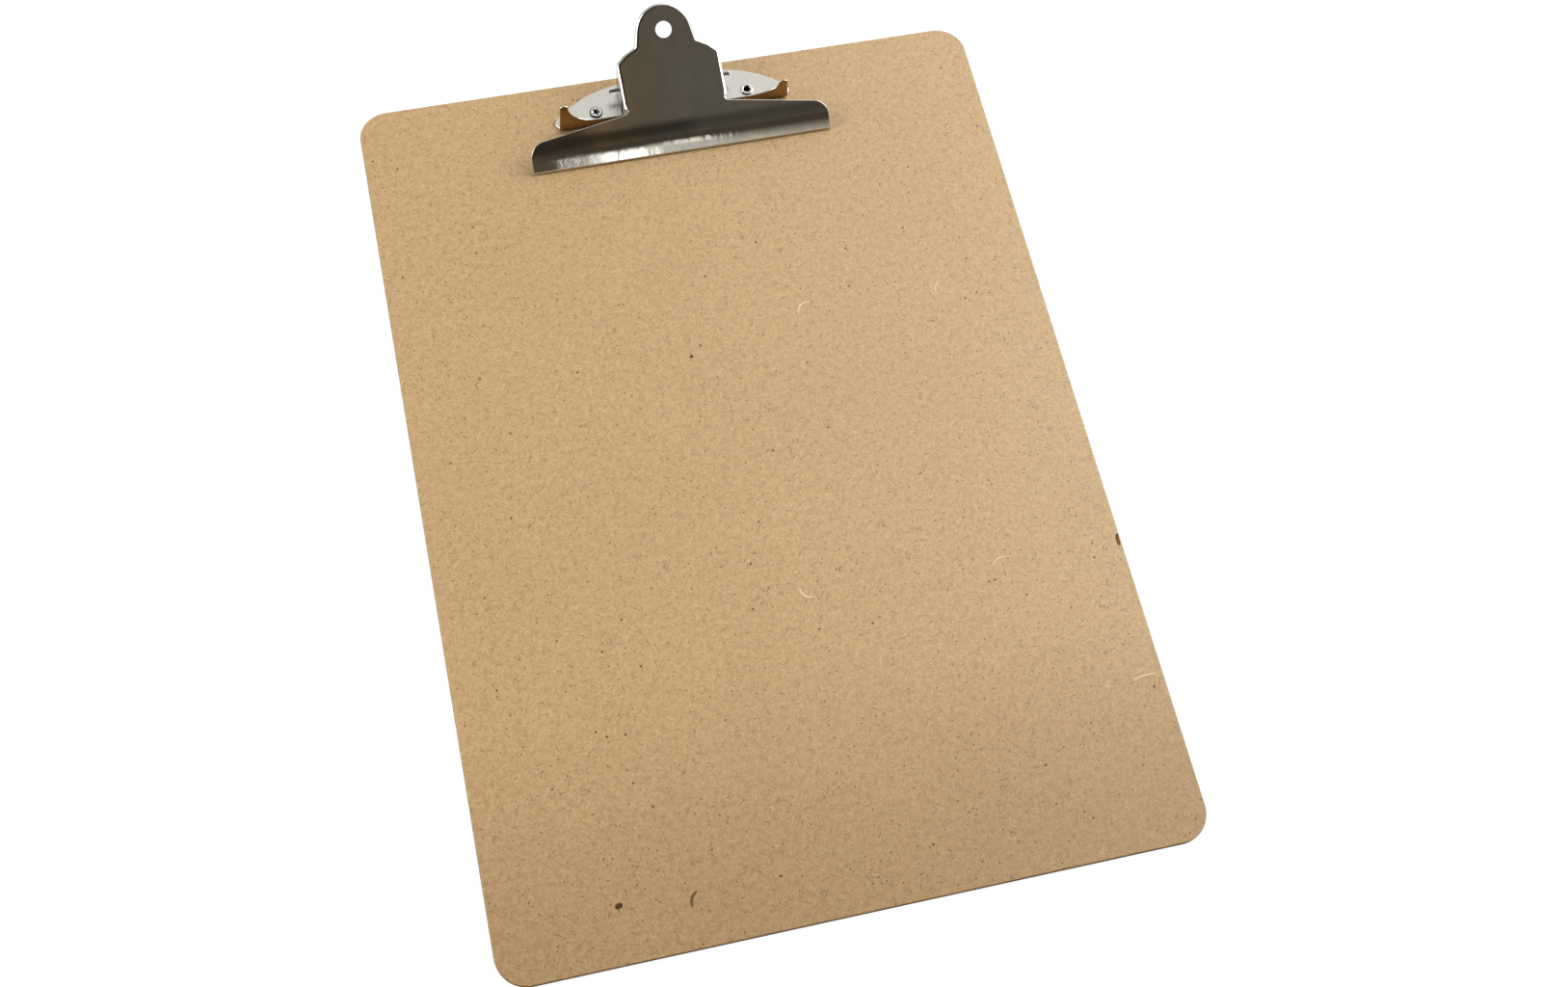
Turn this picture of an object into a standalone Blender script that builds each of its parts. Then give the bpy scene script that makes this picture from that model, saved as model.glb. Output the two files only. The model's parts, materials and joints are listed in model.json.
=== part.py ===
"""Large hardboard clipboard with a riveted, spring-loaded paper clip.

Metres, +Z up. The origin is the centre of the board's underside, and +Y points to the clip.
The clip is a base plate, a lever plate, a hinge pin and a torsion spring, held by two tubular rivets.
"""
import math

import bmesh
import bpy
from mathutils import Matrix, Vector

# Board
BOARD_WIDTH = 0.315
BOARD_LENGTH = 0.440
BOARD_THICKNESS = 0.0032
BOARD_CORNER_RADIUS = 0.0145
BOARD_EDGE_EASE = 0.0004

# Clip, shared
SHEET = 0.0010            # thickness of both stampings
GAP = 0.0003              # air left between faces that touch on the real object
CLIP_TOP = BOARD_LENGTH / 2
BOARD_TOP = BOARD_THICKNESS

# Rivets
RIVET_SPACING = 0.0783
RIVET_SETBACK = 0.0200    # from the board's top edge
RIVET_SHANK_RADIUS = 0.0020
RIVET_HEAD_RADIUS = 0.0040
RIVET_HEAD_THICKNESS = 0.0008
RIVET_RING_RADIUS = 0.00325
RIVET_RING_HEIGHT = 0.0005
RIVET_BORE_RADIUS = 0.0015
RIVET_CLEARANCE = 0.0003
RIVET_HEAD_RECESS = 0.0001   # below the board's underside

# Base plate
FLANGE_SETBACK = 0.0275   # front face of the upturned flange, from the board's top edge
FLANGE_HEIGHT = 0.0055
FLANGE_BEND_RADIUS = 0.0016
HORN_HEIGHT_LEFT = 0.0202
HORN_HEIGHT_RIGHT = 0.0142   # stands lower than the left one
HORN_OUTER_X = 0.0590
HORN_TOP_WIDTH = 0.0051
HORN_INNER_ROUND = 0.0018
HORN_OUTER_ROUND = 0.0014
HORN_NARROWING = 0.055     # how far a horn's outer edge leans inwards per unit of height
HORN_SWEEP_REACH = 0.0150    # the sweep is a quarter ellipse, this wide
WING_REAR_SETBACK = 0.0047
WING_FLAT_HALF = 0.0200
WING_ARC_RADIUS = 0.0580
WING_TIP_BULGE = 0.0017

# Hinge
PIN_SETBACK = 0.0130      # from the board's top edge
PIN_HEIGHT = 0.0080       # above the board's face
PIN_RADIUS = 0.0010
PIN_UPSET_RADIUS = 0.00115   # its slightly spread ends
PIN_OVERHANG = 0.0052     # beyond the lever's ears
PIN_CLEARANCE = 0.00006
BASE_EAR_SIDE_GAP = 0.0030   # lets the lever slide a little along the pin
BASE_EAR_HALF_LENGTH = 0.0052
BASE_EAR_RISE = 0.0048    # above the pin's axis
EAR_WINDOW_WIDTH = 0.0114

# Lever plate
LIP_SETBACK = 0.0508
LIP_SLOPE = math.radians(64)
BODY_SLOPE = math.radians(19)
TAB_SLOPE = math.radians(40)
JAW_BEND_RADIUS = 0.0270
BODY_RUN = 0.02565
TAB_BEND_RADIUS = 0.0150
JAW_HALF_WIDTH = 0.0762
JAW_END_RUN = 0.0078
JAW_CORNER_RADIUS = 0.0085
ARM_TAPER = math.radians(9.2)
ARM_FILLET_RADIUS = 0.0022
LEVER_HALF_WIDTH = 0.0264
RIM_RADIUS = 0.0017
RIM_DROP = 0.0016
RIM_FADE = 0.0028
TAB_RADIUS = 0.0144
TAB_TAPER = math.radians(12)
TAB_CENTRE_RUN = 0.0609   # along the sheet from the lip
SHOULDER_START = 0.0121   # the next three are distances along the sheet before the tab's centre
SHOULDER_TURN = 0.0083
TAB_NOTCH = 0.0052
SHOULDER_INSET = 0.0044   # how far the outline has come in at the shoulder's turn
SHOULDER_CORNER_RADIUS = 0.0030
SHOULDER_TURN_RADIUS = 0.0120
TAB_NOTCH_RADIUS = 0.0022
HOLE_RADIUS = 0.0041
HOLE_CENTRE_RUN = 0.0625
LEVER_EAR_RADIUS = 0.0060
LEVER_EAR_FRONT = 0.0085  # ahead of the pin
LEVER_EAR_FLAT_SHARE = 0.4   # of the ear's length, before its lower edge turns up
LEVER_EAR_TURN = math.radians(110)

# Spring
WIRE_RADIUS = 0.0008
COIL_RADIUS = 0.0037
COIL_TURNS = 8
COIL_PITCH = 0.0020
LOW_LEG_SETBACK = 0.0012  # of its end, from the base plate's rear edge
HIGH_LEG_REACH = 0.0030   # of its end, behind the pin

# Fineness
ROUND_STEPS = 24
BEND_STEPS = 3
WIRE_STEPS_PER_TURN = 14
JAW_ROWS = 8
BODY_COLUMNS = 10
TINY = 1e-6               # lengths and angles below this count as nothing

PIN_Y = CLIP_TOP - PIN_SETBACK
PIN_Z = BOARD_TOP + PIN_HEIGHT
RIVET_Y = CLIP_TOP - RIVET_SETBACK
FLANGE_Y = CLIP_TOP - FLANGE_SETBACK
PLATE_BOTTOM = BOARD_TOP + GAP
PLATE_TOP = PLATE_BOTTOM + SHEET
LIP_Y = CLIP_TOP - LIP_SETBACK
LIP_Z = BOARD_TOP + GAP + SHEET * math.cos(LIP_SLOPE)


# ---------------------------------------------------------------- scene helpers


def clear_scene():
    for item in list(bpy.data.objects):
        bpy.data.objects.remove(item)


def make_material(name, colour, roughness, metallic):
    material = bpy.data.materials.new(name)
    material.use_nodes = True
    shader = material.node_tree.nodes["Principled BSDF"]
    shader.inputs["Base Color"].default_value = (*colour, 1.0)
    shader.inputs["Roughness"].default_value = roughness
    shader.inputs["Metallic"].default_value = metallic
    return material


def add_object(name, bm, material=None, origin=(0, 0, 0)):
    """Turns a bmesh drawn in world coordinates into an object whose origin is at the given point."""
    bmesh.ops.translate(bm, vec=-Vector(origin), verts=bm.verts)
    mesh = bpy.data.meshes.new(name)
    bm.to_mesh(mesh)
    bm.free()
    item = bpy.data.objects.new(name, mesh)
    item.location = origin
    if material:
        mesh.materials.append(material)
    bpy.context.scene.collection.objects.link(item)
    return item


def add_cutter(name, bm):
    item = add_object(name, bm)
    item.hide_render = True
    item.display_type = "WIRE"
    return item


def add_boolean(item, operand, operation):
    modifier = item.modifiers.new(operand.name, "BOOLEAN")
    modifier.operation = operation
    modifier.object = operand
    modifier.solver = "EXACT"


def shade_round(item, angle=math.radians(30)):
    item.data.shade_smooth()
    item.data.set_sharp_from_angle(angle=angle)


# ---------------------------------------------------------------- drawing helpers


def arc(centre, radius, start, end, steps):
    """Points of an arc from angle start to angle end, both ends included."""
    points = []
    for k in range(steps + 1):
        angle = start + (end - start) * k / steps
        points.append((centre[0] + radius * math.cos(angle), centre[1] + radius * math.sin(angle)))
    return points


def straight(start, end, steps):
    """Points of a straight run, both ends included."""
    points = []
    for k in range(steps + 1):
        share = k / steps
        points.append(tuple(a + (b - a) * share for a, b in zip(start, end)))
    return points


def rounded_corner(before, corner, after, radius, steps):
    """Points of the arc that rounds a corner between two straight runs."""
    corner = Vector(corner)
    back = (Vector(before) - corner).normalized()
    ahead = (Vector(after) - corner).normalized()
    half = back.angle(ahead) / 2
    reach = radius / math.tan(half)
    centre = corner + (back + ahead).normalized() * (radius / math.sin(half))
    first = corner + back * reach - centre
    last = corner + ahead * reach - centre
    sweep = first.angle_signed(last)
    points = []
    for k in range(steps + 1):
        turned = first.copy()
        turned.rotate(Matrix.Rotation(-sweep * k / steps, 2))
        points.append(tuple(centre + turned))
    return points


def prism(bm, outline, place, depth):
    """Adds a closed prism. place maps an outline point and a height to world coordinates."""
    low = [bm.verts.new(place(a, b, depth[0])) for a, b in outline]
    high = [bm.verts.new(place(a, b, depth[1])) for a, b in outline]
    count = len(outline)
    faces = [bm.faces.new(low), bm.faces.new(high)]
    for k in range(count):
        nxt = (k + 1) % count
        faces.append(bm.faces.new((low[k], low[nxt], high[nxt], high[k])))
    bmesh.ops.recalc_face_normals(bm, faces=faces)


def box(bm, low, high):
    outline = [(low[0], low[1]), (high[0], low[1]), (high[0], high[1]), (low[0], high[1])]
    prism(bm, outline, lambda x, y, z: (x, y, z), (low[2], high[2]))


def cylinder(bm, centre, radius, axis, length):
    """Adds a closed cylinder centred on a point, along a unit axis."""
    turn = Vector((0, 0, 1)).rotation_difference(Vector(axis)).to_matrix().to_4x4()
    bmesh.ops.create_cone(
        bm, cap_ends=True, segments=ROUND_STEPS, radius1=radius, radius2=radius, depth=length,
        matrix=Matrix.Translation(centre) @ turn)


def turned_body(bm, profile, place):
    """Adds a closed body of revolution. The profile runs from the axis to the axis as (radius, height)."""
    rings = []
    for radius, height in profile:
        if radius == 0:
            rings.append([bm.verts.new(place(0, 0, height))])
            continue
        circle = arc((0, 0), radius, 0, 2 * math.pi, ROUND_STEPS)[:-1]
        rings.append([bm.verts.new(place(a, b, height)) for a, b in circle])
    for lower, upper in zip(rings, rings[1:]):
        for k in range(ROUND_STEPS):
            nxt = (k + 1) % ROUND_STEPS
            corners = [lower[k % len(lower)], lower[nxt % len(lower)]]
            corners += [upper[nxt % len(upper)], upper[k % len(upper)]]
            bm.faces.new(list(dict.fromkeys(corners)))
    bmesh.ops.recalc_face_normals(bm, faces=bm.faces)


def add_grid(bm, rows):
    """Joins equal-length rows of vertices with faces. Repeated vertices close a face to a triangle."""
    for lower, upper in zip(rows, rows[1:]):
        for k in range(len(lower) - 1):
            corners = list(dict.fromkeys((lower[k], lower[k + 1], upper[k + 1], upper[k])))
            if len(corners) > 2:
                bm.faces.new(corners)


def add_sheet_thickness(item):
    """Thickens a surface towards its back by the stampings' sheet thickness."""
    modifier = item.modifiers.new("sheet", "SOLIDIFY")
    modifier.thickness = SHEET
    modifier.offset = -1
    modifier.use_even_offset = True


# ---------------------------------------------------------------- board


def board_outline():
    half_x = BOARD_WIDTH / 2 - BOARD_CORNER_RADIUS
    half_y = BOARD_LENGTH / 2 - BOARD_CORNER_RADIUS
    corners = ((half_x, half_y), (-half_x, half_y), (-half_x, -half_y), (half_x, -half_y))
    points = []
    for quarter, centre in enumerate(corners):
        start = quarter * math.pi / 2
        points += arc(centre, BOARD_CORNER_RADIUS, start, start + math.pi / 2, 8)
    return points


def make_board(material):
    bm = bmesh.new()
    prism(bm, board_outline(), lambda x, y, z: (x, y, z), (0, BOARD_THICKNESS))
    rims = [e for e in bm.edges if abs(e.verts[0].co.z - e.verts[1].co.z) < GAP]
    bmesh.ops.bevel(bm, geom=rims, offset=BOARD_EDGE_EASE, segments=1, affect="EDGES")
    board = add_object("board", bm, material)

    bm = bmesh.new()
    head_pocket = RIVET_HEAD_THICKNESS + RIVET_CLEARANCE
    for side in (-1, 1):
        place = Vector((side * RIVET_SPACING / 2, RIVET_Y, 0))
        radius = RIVET_SHANK_RADIUS + RIVET_CLEARANCE
        cylinder(bm, place, radius, (0, 0, 1), 4 * BOARD_THICKNESS)
    add_boolean(board, add_cutter("board_rivet_holes", bm), "DIFFERENCE")

    bm = bmesh.new()
    for side in (-1, 1):
        place = Vector((side * RIVET_SPACING / 2, RIVET_Y, 0))
        radius = RIVET_HEAD_RADIUS + RIVET_CLEARANCE
        cylinder(bm, place, radius, (0, 0, 1), 2 * head_pocket)
    add_boolean(board, add_cutter("board_head_pockets", bm), "DIFFERENCE")
    return board


# ---------------------------------------------------------------- rivets


def rivet_profile():
    """Half section of a tubular rivet, from the middle of its head to the floor of its bore."""
    head_low = RIVET_HEAD_RECESS
    head_high = head_low + RIVET_HEAD_THICKNESS
    seat = PLATE_TOP + GAP
    crown = seat + RIVET_RING_HEIGHT
    ring = RIVET_RING_RADIUS
    bore = RIVET_BORE_RADIUS
    return [
        (0, head_low),
        (RIVET_HEAD_RADIUS * 0.9, head_low),
        (RIVET_HEAD_RADIUS, head_low + RIVET_HEAD_THICKNESS / 3),
        (RIVET_HEAD_RADIUS, head_high - RIVET_HEAD_THICKNESS / 4),
        (RIVET_HEAD_RADIUS * 0.9, head_high),
        (RIVET_SHANK_RADIUS, head_high),
        (RIVET_SHANK_RADIUS, seat),
        (ring * 0.92, seat),
        (ring, seat + RIVET_RING_HEIGHT * 0.35),
        (ring * 0.93, seat + RIVET_RING_HEIGHT * 0.75),
        (ring * 0.78, crown),
        (ring * 0.64, crown - RIVET_RING_HEIGHT * 0.1),
        (bore * 1.12, crown - RIVET_RING_HEIGHT * 0.5),
        (bore, seat),
        (bore, BOARD_TOP / 2),
        (0, BOARD_TOP / 2 - bore * 0.3),
    ]


def make_rivet(name, side, material):
    bm = bmesh.new()
    centre_x = side * RIVET_SPACING / 2
    turned_body(bm, rivet_profile(), lambda a, b, z: (centre_x + a, RIVET_Y + b, z))
    rivet = add_object(name, bm, material)
    shade_round(rivet)
    return rivet


# ---------------------------------------------------------------- base plate


def wing_rear(x):
    """Rear edge of the base plate: straight in the middle, then a large arc down to each tip."""
    beyond = max(0.0, abs(x) - WING_FLAT_HALF)
    drop = WING_ARC_RADIUS - math.sqrt(WING_ARC_RADIUS ** 2 - beyond ** 2)
    return CLIP_TOP - WING_REAR_SETBACK - drop


def flange_edge(horn_height):
    """Top edge of half the front flange as (distance from the middle, height above the underside)."""
    inner_x = HORN_OUTER_X - HORN_TOP_WIDTH
    sweep_start = inner_x - HORN_SWEEP_REACH
    sweep_rise = horn_height - HORN_INNER_ROUND - FLANGE_HEIGHT
    points = straight((0, FLANGE_HEIGHT), (sweep_start, FLANGE_HEIGHT), 6)
    for a, b in arc((0, 0), 1, -math.pi / 2, 0, 8)[1:]:
        points.append((sweep_start + HORN_SWEEP_REACH * a, FLANGE_HEIGHT + sweep_rise * (1 + b)))
    inner_centre = (inner_x + HORN_INNER_ROUND, horn_height - HORN_INNER_ROUND)
    outer_centre = (HORN_OUTER_X - HORN_OUTER_ROUND, horn_height - HORN_OUTER_ROUND)
    points += arc(inner_centre, HORN_INNER_ROUND, math.pi, math.pi / 2, 3)[1:]
    points += arc(outer_centre, HORN_OUTER_ROUND, math.pi / 2, 0, 3)
    return points


def base_columns():
    """Columns of the base plate's outer surface across the whole width, left to right."""
    left = [(-x, height) for x, height in flange_edge(HORN_HEIGHT_LEFT)[:0:-1]]
    return left + flange_edge(HORN_HEIGHT_RIGHT)


def base_column(x, top):
    """One column from the rear edge, over the board, round the bend and up the flange."""
    bend = FLANGE_BEND_RADIUS
    rear = wing_rear(x)
    front = FLANGE_Y + bend
    outermost = abs(x) > HORN_OUTER_X - TINY
    points = []
    for k in range(7):
        share = k / 6
        bulge = WING_TIP_BULGE * math.sin(math.pi * share) if outermost else 0.0
        points.append((x + math.copysign(bulge, x), rear + (front - rear) * share, PLATE_BOTTOM))
    centre = (front, PLATE_BOTTOM + bend)
    for y, z in arc(centre, bend, -math.pi / 2, -math.pi, BEND_STEPS)[1:]:
        points.append((x, y, z))
    share = max(0.0, (abs(x) - HORN_OUTER_X + HORN_TOP_WIDTH) / HORN_TOP_WIDTH)
    for height in ((bend + top) / 2, top):
        inwards = math.copysign(share * HORN_NARROWING * (height - bend), x)
        points.append((x - inwards, FLANGE_Y, PLATE_BOTTOM + height))
    return points


def base_ear_outline():
    """Side view of a base ear: straight sides and a round top about the pin."""
    low = PLATE_BOTTOM + SHEET / 3
    half = BASE_EAR_HALF_LENGTH
    top_arc = arc((PIN_Y, PIN_Z), half, 0, math.pi, 12)
    crown = BASE_EAR_RISE / half
    top = [(y, PIN_Z + (z - PIN_Z) * crown) for y, z in top_arc]
    return [(PIN_Y + half, low)] + top + [(PIN_Y - half, low)]


def base_ear_faces():
    """Inner and outer x of the right base ear."""
    outer = LEVER_HALF_WIDTH - SHEET - BASE_EAR_SIDE_GAP
    return outer - SHEET, outer


def make_base_plate(material):
    bm = bmesh.new()
    columns = []
    for x, top in base_columns():
        columns.append([bm.verts.new(point) for point in base_column(x, top)])
    add_grid(bm, columns)
    bmesh.ops.remove_doubles(bm, verts=bm.verts, dist=TINY)
    bmesh.ops.recalc_face_normals(bm, faces=bm.faces)
    if max(bm.faces, key=lambda f: f.calc_area()).normal.z > 0:
        bmesh.ops.reverse_faces(bm, faces=bm.faces)
    base = add_object("base_plate", bm, material)
    add_sheet_thickness(base)

    inner, outer = base_ear_faces()
    window_edge = inner - GAP
    bm = bmesh.new()
    for side in (-1, 1):
        ends = sorted((side * window_edge, side * (window_edge - EAR_WINDOW_WIDTH)))
        low = (ends[0], PIN_Y - BASE_EAR_HALF_LENGTH, 0)
        high = (ends[1], PIN_Y + BASE_EAR_HALF_LENGTH, 2 * PLATE_TOP)
        box(bm, low, high)
        place = Vector((side * RIVET_SPACING / 2, RIVET_Y, PLATE_TOP))
        cylinder(bm, place, RIVET_SHANK_RADIUS + RIVET_CLEARANCE, (0, 0, 1), 4 * SHEET)
    add_boolean(base, add_cutter("base_openings", bm), "DIFFERENCE")

    bm = bmesh.new()
    for side in (-1, 1):
        prism(bm, base_ear_outline(), lambda y, z, x: (x, y, z), (side * inner, side * outer))
    add_boolean(base, add_cutter("base_ears", bm), "UNION")

    add_boolean(base, pin_hole_cutter("base_pin_holes", inner), "DIFFERENCE")
    shade_round(base)
    return base


def pin_hole_cutter(name, ear_x):
    """Two short cylinders on the pin's axis, one through the ear at each side."""
    bm = bmesh.new()
    for side in (-1, 1):
        place = Vector((side * ear_x, PIN_Y, PIN_Z))
        cylinder(bm, place, PIN_RADIUS + PIN_CLEARANCE, (1, 0, 0), 4 * SHEET)
    return add_cutter(name, bm)


# ---------------------------------------------------------------- lever plate


def lever_runs():
    """The lever's side view as (length, slope at the end) runs, from the lip to the tab."""
    return (
        (JAW_BEND_RADIUS * (LIP_SLOPE - BODY_SLOPE), BODY_SLOPE),
        (BODY_RUN, BODY_SLOPE),
        (TAB_BEND_RADIUS * (TAB_SLOPE - BODY_SLOPE), TAB_SLOPE),
        (BOARD_LENGTH, TAB_SLOPE),
    )


def lever_place(x, run, depth=0.0):
    """World point at a distance along the sheet from the lip, at a depth below the sheet's top face."""
    y, z, slope = LIP_Y, LIP_Z, LIP_SLOPE
    for length, end_slope in lever_runs():
        step = min(run, length)
        turn = (end_slope - slope) * step / length
        if abs(turn) < TINY:
            y += step * math.cos(slope)
            z += step * math.sin(slope)
        else:
            radius = step / turn
            y += radius * (math.sin(slope + turn) - math.sin(slope))
            z += radius * (math.cos(slope) - math.cos(slope + turn))
        slope += turn
        run -= step
        if run <= 0:
            break
    return Vector((x, y + depth * math.sin(slope), z - depth * math.cos(slope)))


def body_run_at(y):
    """Distance along the sheet from the lip to the body's straight stretch at a given y."""
    start = lever_runs()[0][0]
    return start + (y - lever_place(0, start).y) / math.cos(BODY_SLOPE)


def jaw_corner_start():
    """Where the arm's tapered rear edge meets the round of the jaw's outer corner."""
    radius = JAW_CORNER_RADIUS
    x = JAW_HALF_WIDTH - radius + radius * math.sin(ARM_TAPER)
    return x, JAW_END_RUN + radius * math.cos(ARM_TAPER)


def fillet_centre():
    """Centre of the hollow corner between the arm and the body's side."""
    flat_half = LEVER_HALF_WIDTH - RIM_RADIUS
    corner_x, corner_run = jaw_corner_start()
    x = flat_half + ARM_FILLET_RADIUS
    arm_run = corner_run + (corner_x - x) * math.tan(ARM_TAPER)
    return x, arm_run + ARM_FILLET_RADIUS / math.cos(ARM_TAPER)


def jaw_edge():
    """Rear edge of the jaw for x >= 0 as (x, run): across the body, round the fillet, along the arm."""
    flat_half = LEVER_HALF_WIDTH - RIM_RADIUS
    centre = fillet_centre()
    points = straight((0, centre[1]), (flat_half, centre[1]), BODY_COLUMNS)
    points += arc(centre, ARM_FILLET_RADIUS, -math.pi, -math.pi / 2 - ARM_TAPER, 4)[1:]
    points += straight(points[-1], jaw_corner_start(), 6)[1:]
    corner_centre = (JAW_HALF_WIDTH - JAW_CORNER_RADIUS, JAW_END_RUN)
    points += arc(corner_centre, JAW_CORNER_RADIUS, math.pi / 2 - ARM_TAPER, 0, 6)[1:]
    return points


def add_jaw(bm):
    """Adds the jaw's surface and returns its vertices along the body's foot, left to right."""
    right = jaw_edge()
    columns = [(-x, run) for x, run in right[:0:-1]] + right
    grid = []
    for x, run in columns:
        column = [bm.verts.new(lever_place(x, run * k / JAW_ROWS)) for k in range(JAW_ROWS + 1)]
        grid.append(column)
    add_grid(bm, grid)
    middle = len(right) - 1
    return [column[-1] for column in grid[middle - BODY_COLUMNS:middle + BODY_COLUMNS + 1]]


def lever_side():
    """Outer right edge of body and tab as (x, run), from the foot to 45 degrees round the tab's end."""
    foot = fillet_centre()[1]
    ear_start = body_run_at(PIN_Y - LEVER_EAR_FRONT)
    half = LEVER_HALF_WIDTH
    tab_touch = arc((0, TAB_CENTRE_RUN), TAB_RADIUS, TAB_TAPER, TAB_TAPER, 1)[0]
    shoulder_low = (half, TAB_CENTRE_RUN - SHOULDER_START)
    shoulder_mid = (half - SHOULDER_INSET, TAB_CENTRE_RUN - SHOULDER_TURN)
    notch_run = TAB_CENTRE_RUN - TAB_NOTCH
    notch = (tab_touch[0] + (tab_touch[1] - notch_run) * math.tan(TAB_TAPER), notch_run)
    corner = rounded_corner((half, foot), shoulder_low, shoulder_mid, SHOULDER_CORNER_RADIUS, 3)
    points = straight((half, foot), (half, foot + RIM_FADE), 4)
    points += straight((half, foot + RIM_FADE), (half, ear_start - RIM_DROP), 2)[1:]
    points += straight((half, ear_start), corner[0], 8)
    points += corner[1:]
    points += rounded_corner(shoulder_low, shoulder_mid, notch, SHOULDER_TURN_RADIUS, 2)
    points += rounded_corner(shoulder_mid, notch, tab_touch, TAB_NOTCH_RADIUS, 3)
    points += straight(notch, tab_touch, 2)[1:]
    points += arc((0, TAB_CENTRE_RUN), TAB_RADIUS, TAB_TAPER, math.pi / 4, 3)[1:]
    return points


def outward_normals(points):
    """Unit normals on the right of an open path of (x, run) points."""
    normals = []
    for k in range(len(points)):
        before = Vector(points[max(k - 1, 0)])
        after = Vector(points[min(k + 1, len(points) - 1)])
        along = (after - before).normalized()
        normals.append(Vector((along.y, -along.x)))
    return normals


def lever_border():
    """Border of body and tab, right foot to left foot, as (outer point, normal, rim share)."""
    right = lever_side()
    end = arc((0, TAB_CENTRE_RUN), TAB_RADIUS, math.pi / 4, math.pi * 3 / 4, 2 * BODY_COLUMNS)
    left = [(-x, run) for x, run in right[::-1]]
    path = right + end[1:-1] + left
    foot = right[0][1]
    border = []
    for point, normal in zip(path, outward_normals(path)):
        share = min(1.0, max(0.0, (point[1] - foot) / RIM_FADE))
        border.append((Vector(point), normal, share))
    return border, len(right)


def ear_bottom(share):
    """Lower edge of a lever ear as (y, z) for a share of its length, from front to rear."""
    low = PIN_Z - LEVER_EAR_RADIUS
    front = PIN_Y - LEVER_EAR_FRONT
    if share <= LEVER_EAR_FLAT_SHARE:
        return front + (PIN_Y - front) * share / LEVER_EAR_FLAT_SHARE, low
    turn = (share - LEVER_EAR_FLAT_SHARE) / (1 - LEVER_EAR_FLAT_SHARE)
    angle = -math.pi / 2 + turn * LEVER_EAR_TURN
    return PIN_Y + LEVER_EAR_RADIUS * math.cos(angle), PIN_Z + LEVER_EAR_RADIUS * math.sin(angle)


def ear_share(point):
    """Share of the ear's length at a border point, or None outside the ear."""
    first = body_run_at(PIN_Y - LEVER_EAR_FRONT)
    straight_end = TAB_CENTRE_RUN - SHOULDER_START - SHOULDER_CORNER_RADIUS / 2
    if abs(point.x) < LEVER_HALF_WIDTH - TINY:
        return None
    if point.y < first - TINY or point.y > straight_end + TINY:
        return None
    return (point.y - first) / (straight_end - first)


def add_lever_rim(bm, border, inner):
    """Turns the sheet down along the border, and extends it into an ear on each side."""
    rows = [inner]
    for step in range(1, BEND_STEPS + 1):
        row = []
        for (point, normal, share), vertex in zip(border, inner):
            if share == 0:
                row.append(vertex)
                continue
            angle = share * math.pi / 2 * step / BEND_STEPS
            flat = point - normal * RIM_RADIUS * (1 - math.sin(angle))
            row.append(bm.verts.new(lever_place(*flat, RIM_RADIUS * (1 - math.cos(angle)))))
        rows.append(row)
    last = []
    for (point, normal, share), vertex in zip(border, rows[-1]):
        if share == 0:
            last.append(vertex)
            continue
        along = ear_share(point)
        if along is None:
            angle = share * math.pi / 2
            reach = RIM_RADIUS * math.sin(angle) + RIM_DROP * share * math.cos(angle)
            drop = RIM_RADIUS * (1 - math.cos(angle)) + RIM_DROP * share * math.sin(angle)
            flat = point - normal * (RIM_RADIUS - reach)
            last.append(bm.verts.new(lever_place(*flat, drop)))
        else:
            last.append(bm.verts.new((vertex.co.x, *ear_bottom(along))))
    rows.append(last)
    add_grid(bm, rows)


def add_lever_body(bm, foot):
    """Adds body and tab above the jaw's foot row, with their turned-down rim."""
    border, side_count = lever_border()
    flat = [point - normal * RIM_RADIUS for point, normal, share in border]
    right = flat[:side_count]
    end = flat[side_count - 1:len(flat) - side_count + 1]
    top = end[::-1]
    low_run = right[0].y
    high_run = right[-1].y
    columns = 2 * BODY_COLUMNS
    rows = [foot]
    inner_right = [foot[-1]]
    inner_left = [foot[0]]
    for point in right[1:-1]:
        rise = (point.y - low_run) / (high_run - low_run)
        row = []
        for k in range(columns + 1):
            across = 2 * k / columns - 1
            bow = (top[k].y - high_run) * rise
            spread = top[k].x / top[-1].x
            lean = across + (spread - across) * rise
            row.append(bm.verts.new(lever_place(point.x * lean, point.y + bow)))
        rows.append(row)
        inner_left.append(row[0])
        inner_right.append(row[-1])
    last = [bm.verts.new(lever_place(point.x, point.y)) for point in top]
    rows.append(last)
    add_grid(bm, rows)
    inner = inner_right + last[::-1] + inner_left[::-1]
    add_lever_rim(bm, border, inner)


def make_lever_plate(material):
    bm = bmesh.new()
    foot = add_jaw(bm)
    add_lever_body(bm, foot)
    bmesh.ops.recalc_face_normals(bm, faces=bm.faces)
    if max(bm.faces, key=lambda f: f.calc_area()).normal.z < 0:
        bmesh.ops.reverse_faces(bm, faces=bm.faces)
    lever = add_object("lever_plate", bm, material, origin=(0, PIN_Y, PIN_Z))
    add_sheet_thickness(lever)

    bm = bmesh.new()
    tab_axis = (0, -math.sin(TAB_SLOPE), math.cos(TAB_SLOPE))
    cylinder(bm, lever_place(0, HOLE_CENTRE_RUN), HOLE_RADIUS, tab_axis, 6 * SHEET)
    add_boolean(lever, add_cutter("hanging_hole", bm), "DIFFERENCE")
    add_boolean(lever, pin_hole_cutter("lever_pin_holes", LEVER_HALF_WIDTH), "DIFFERENCE")
    shade_round(lever)
    return lever


# ---------------------------------------------------------------- pin and spring


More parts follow.
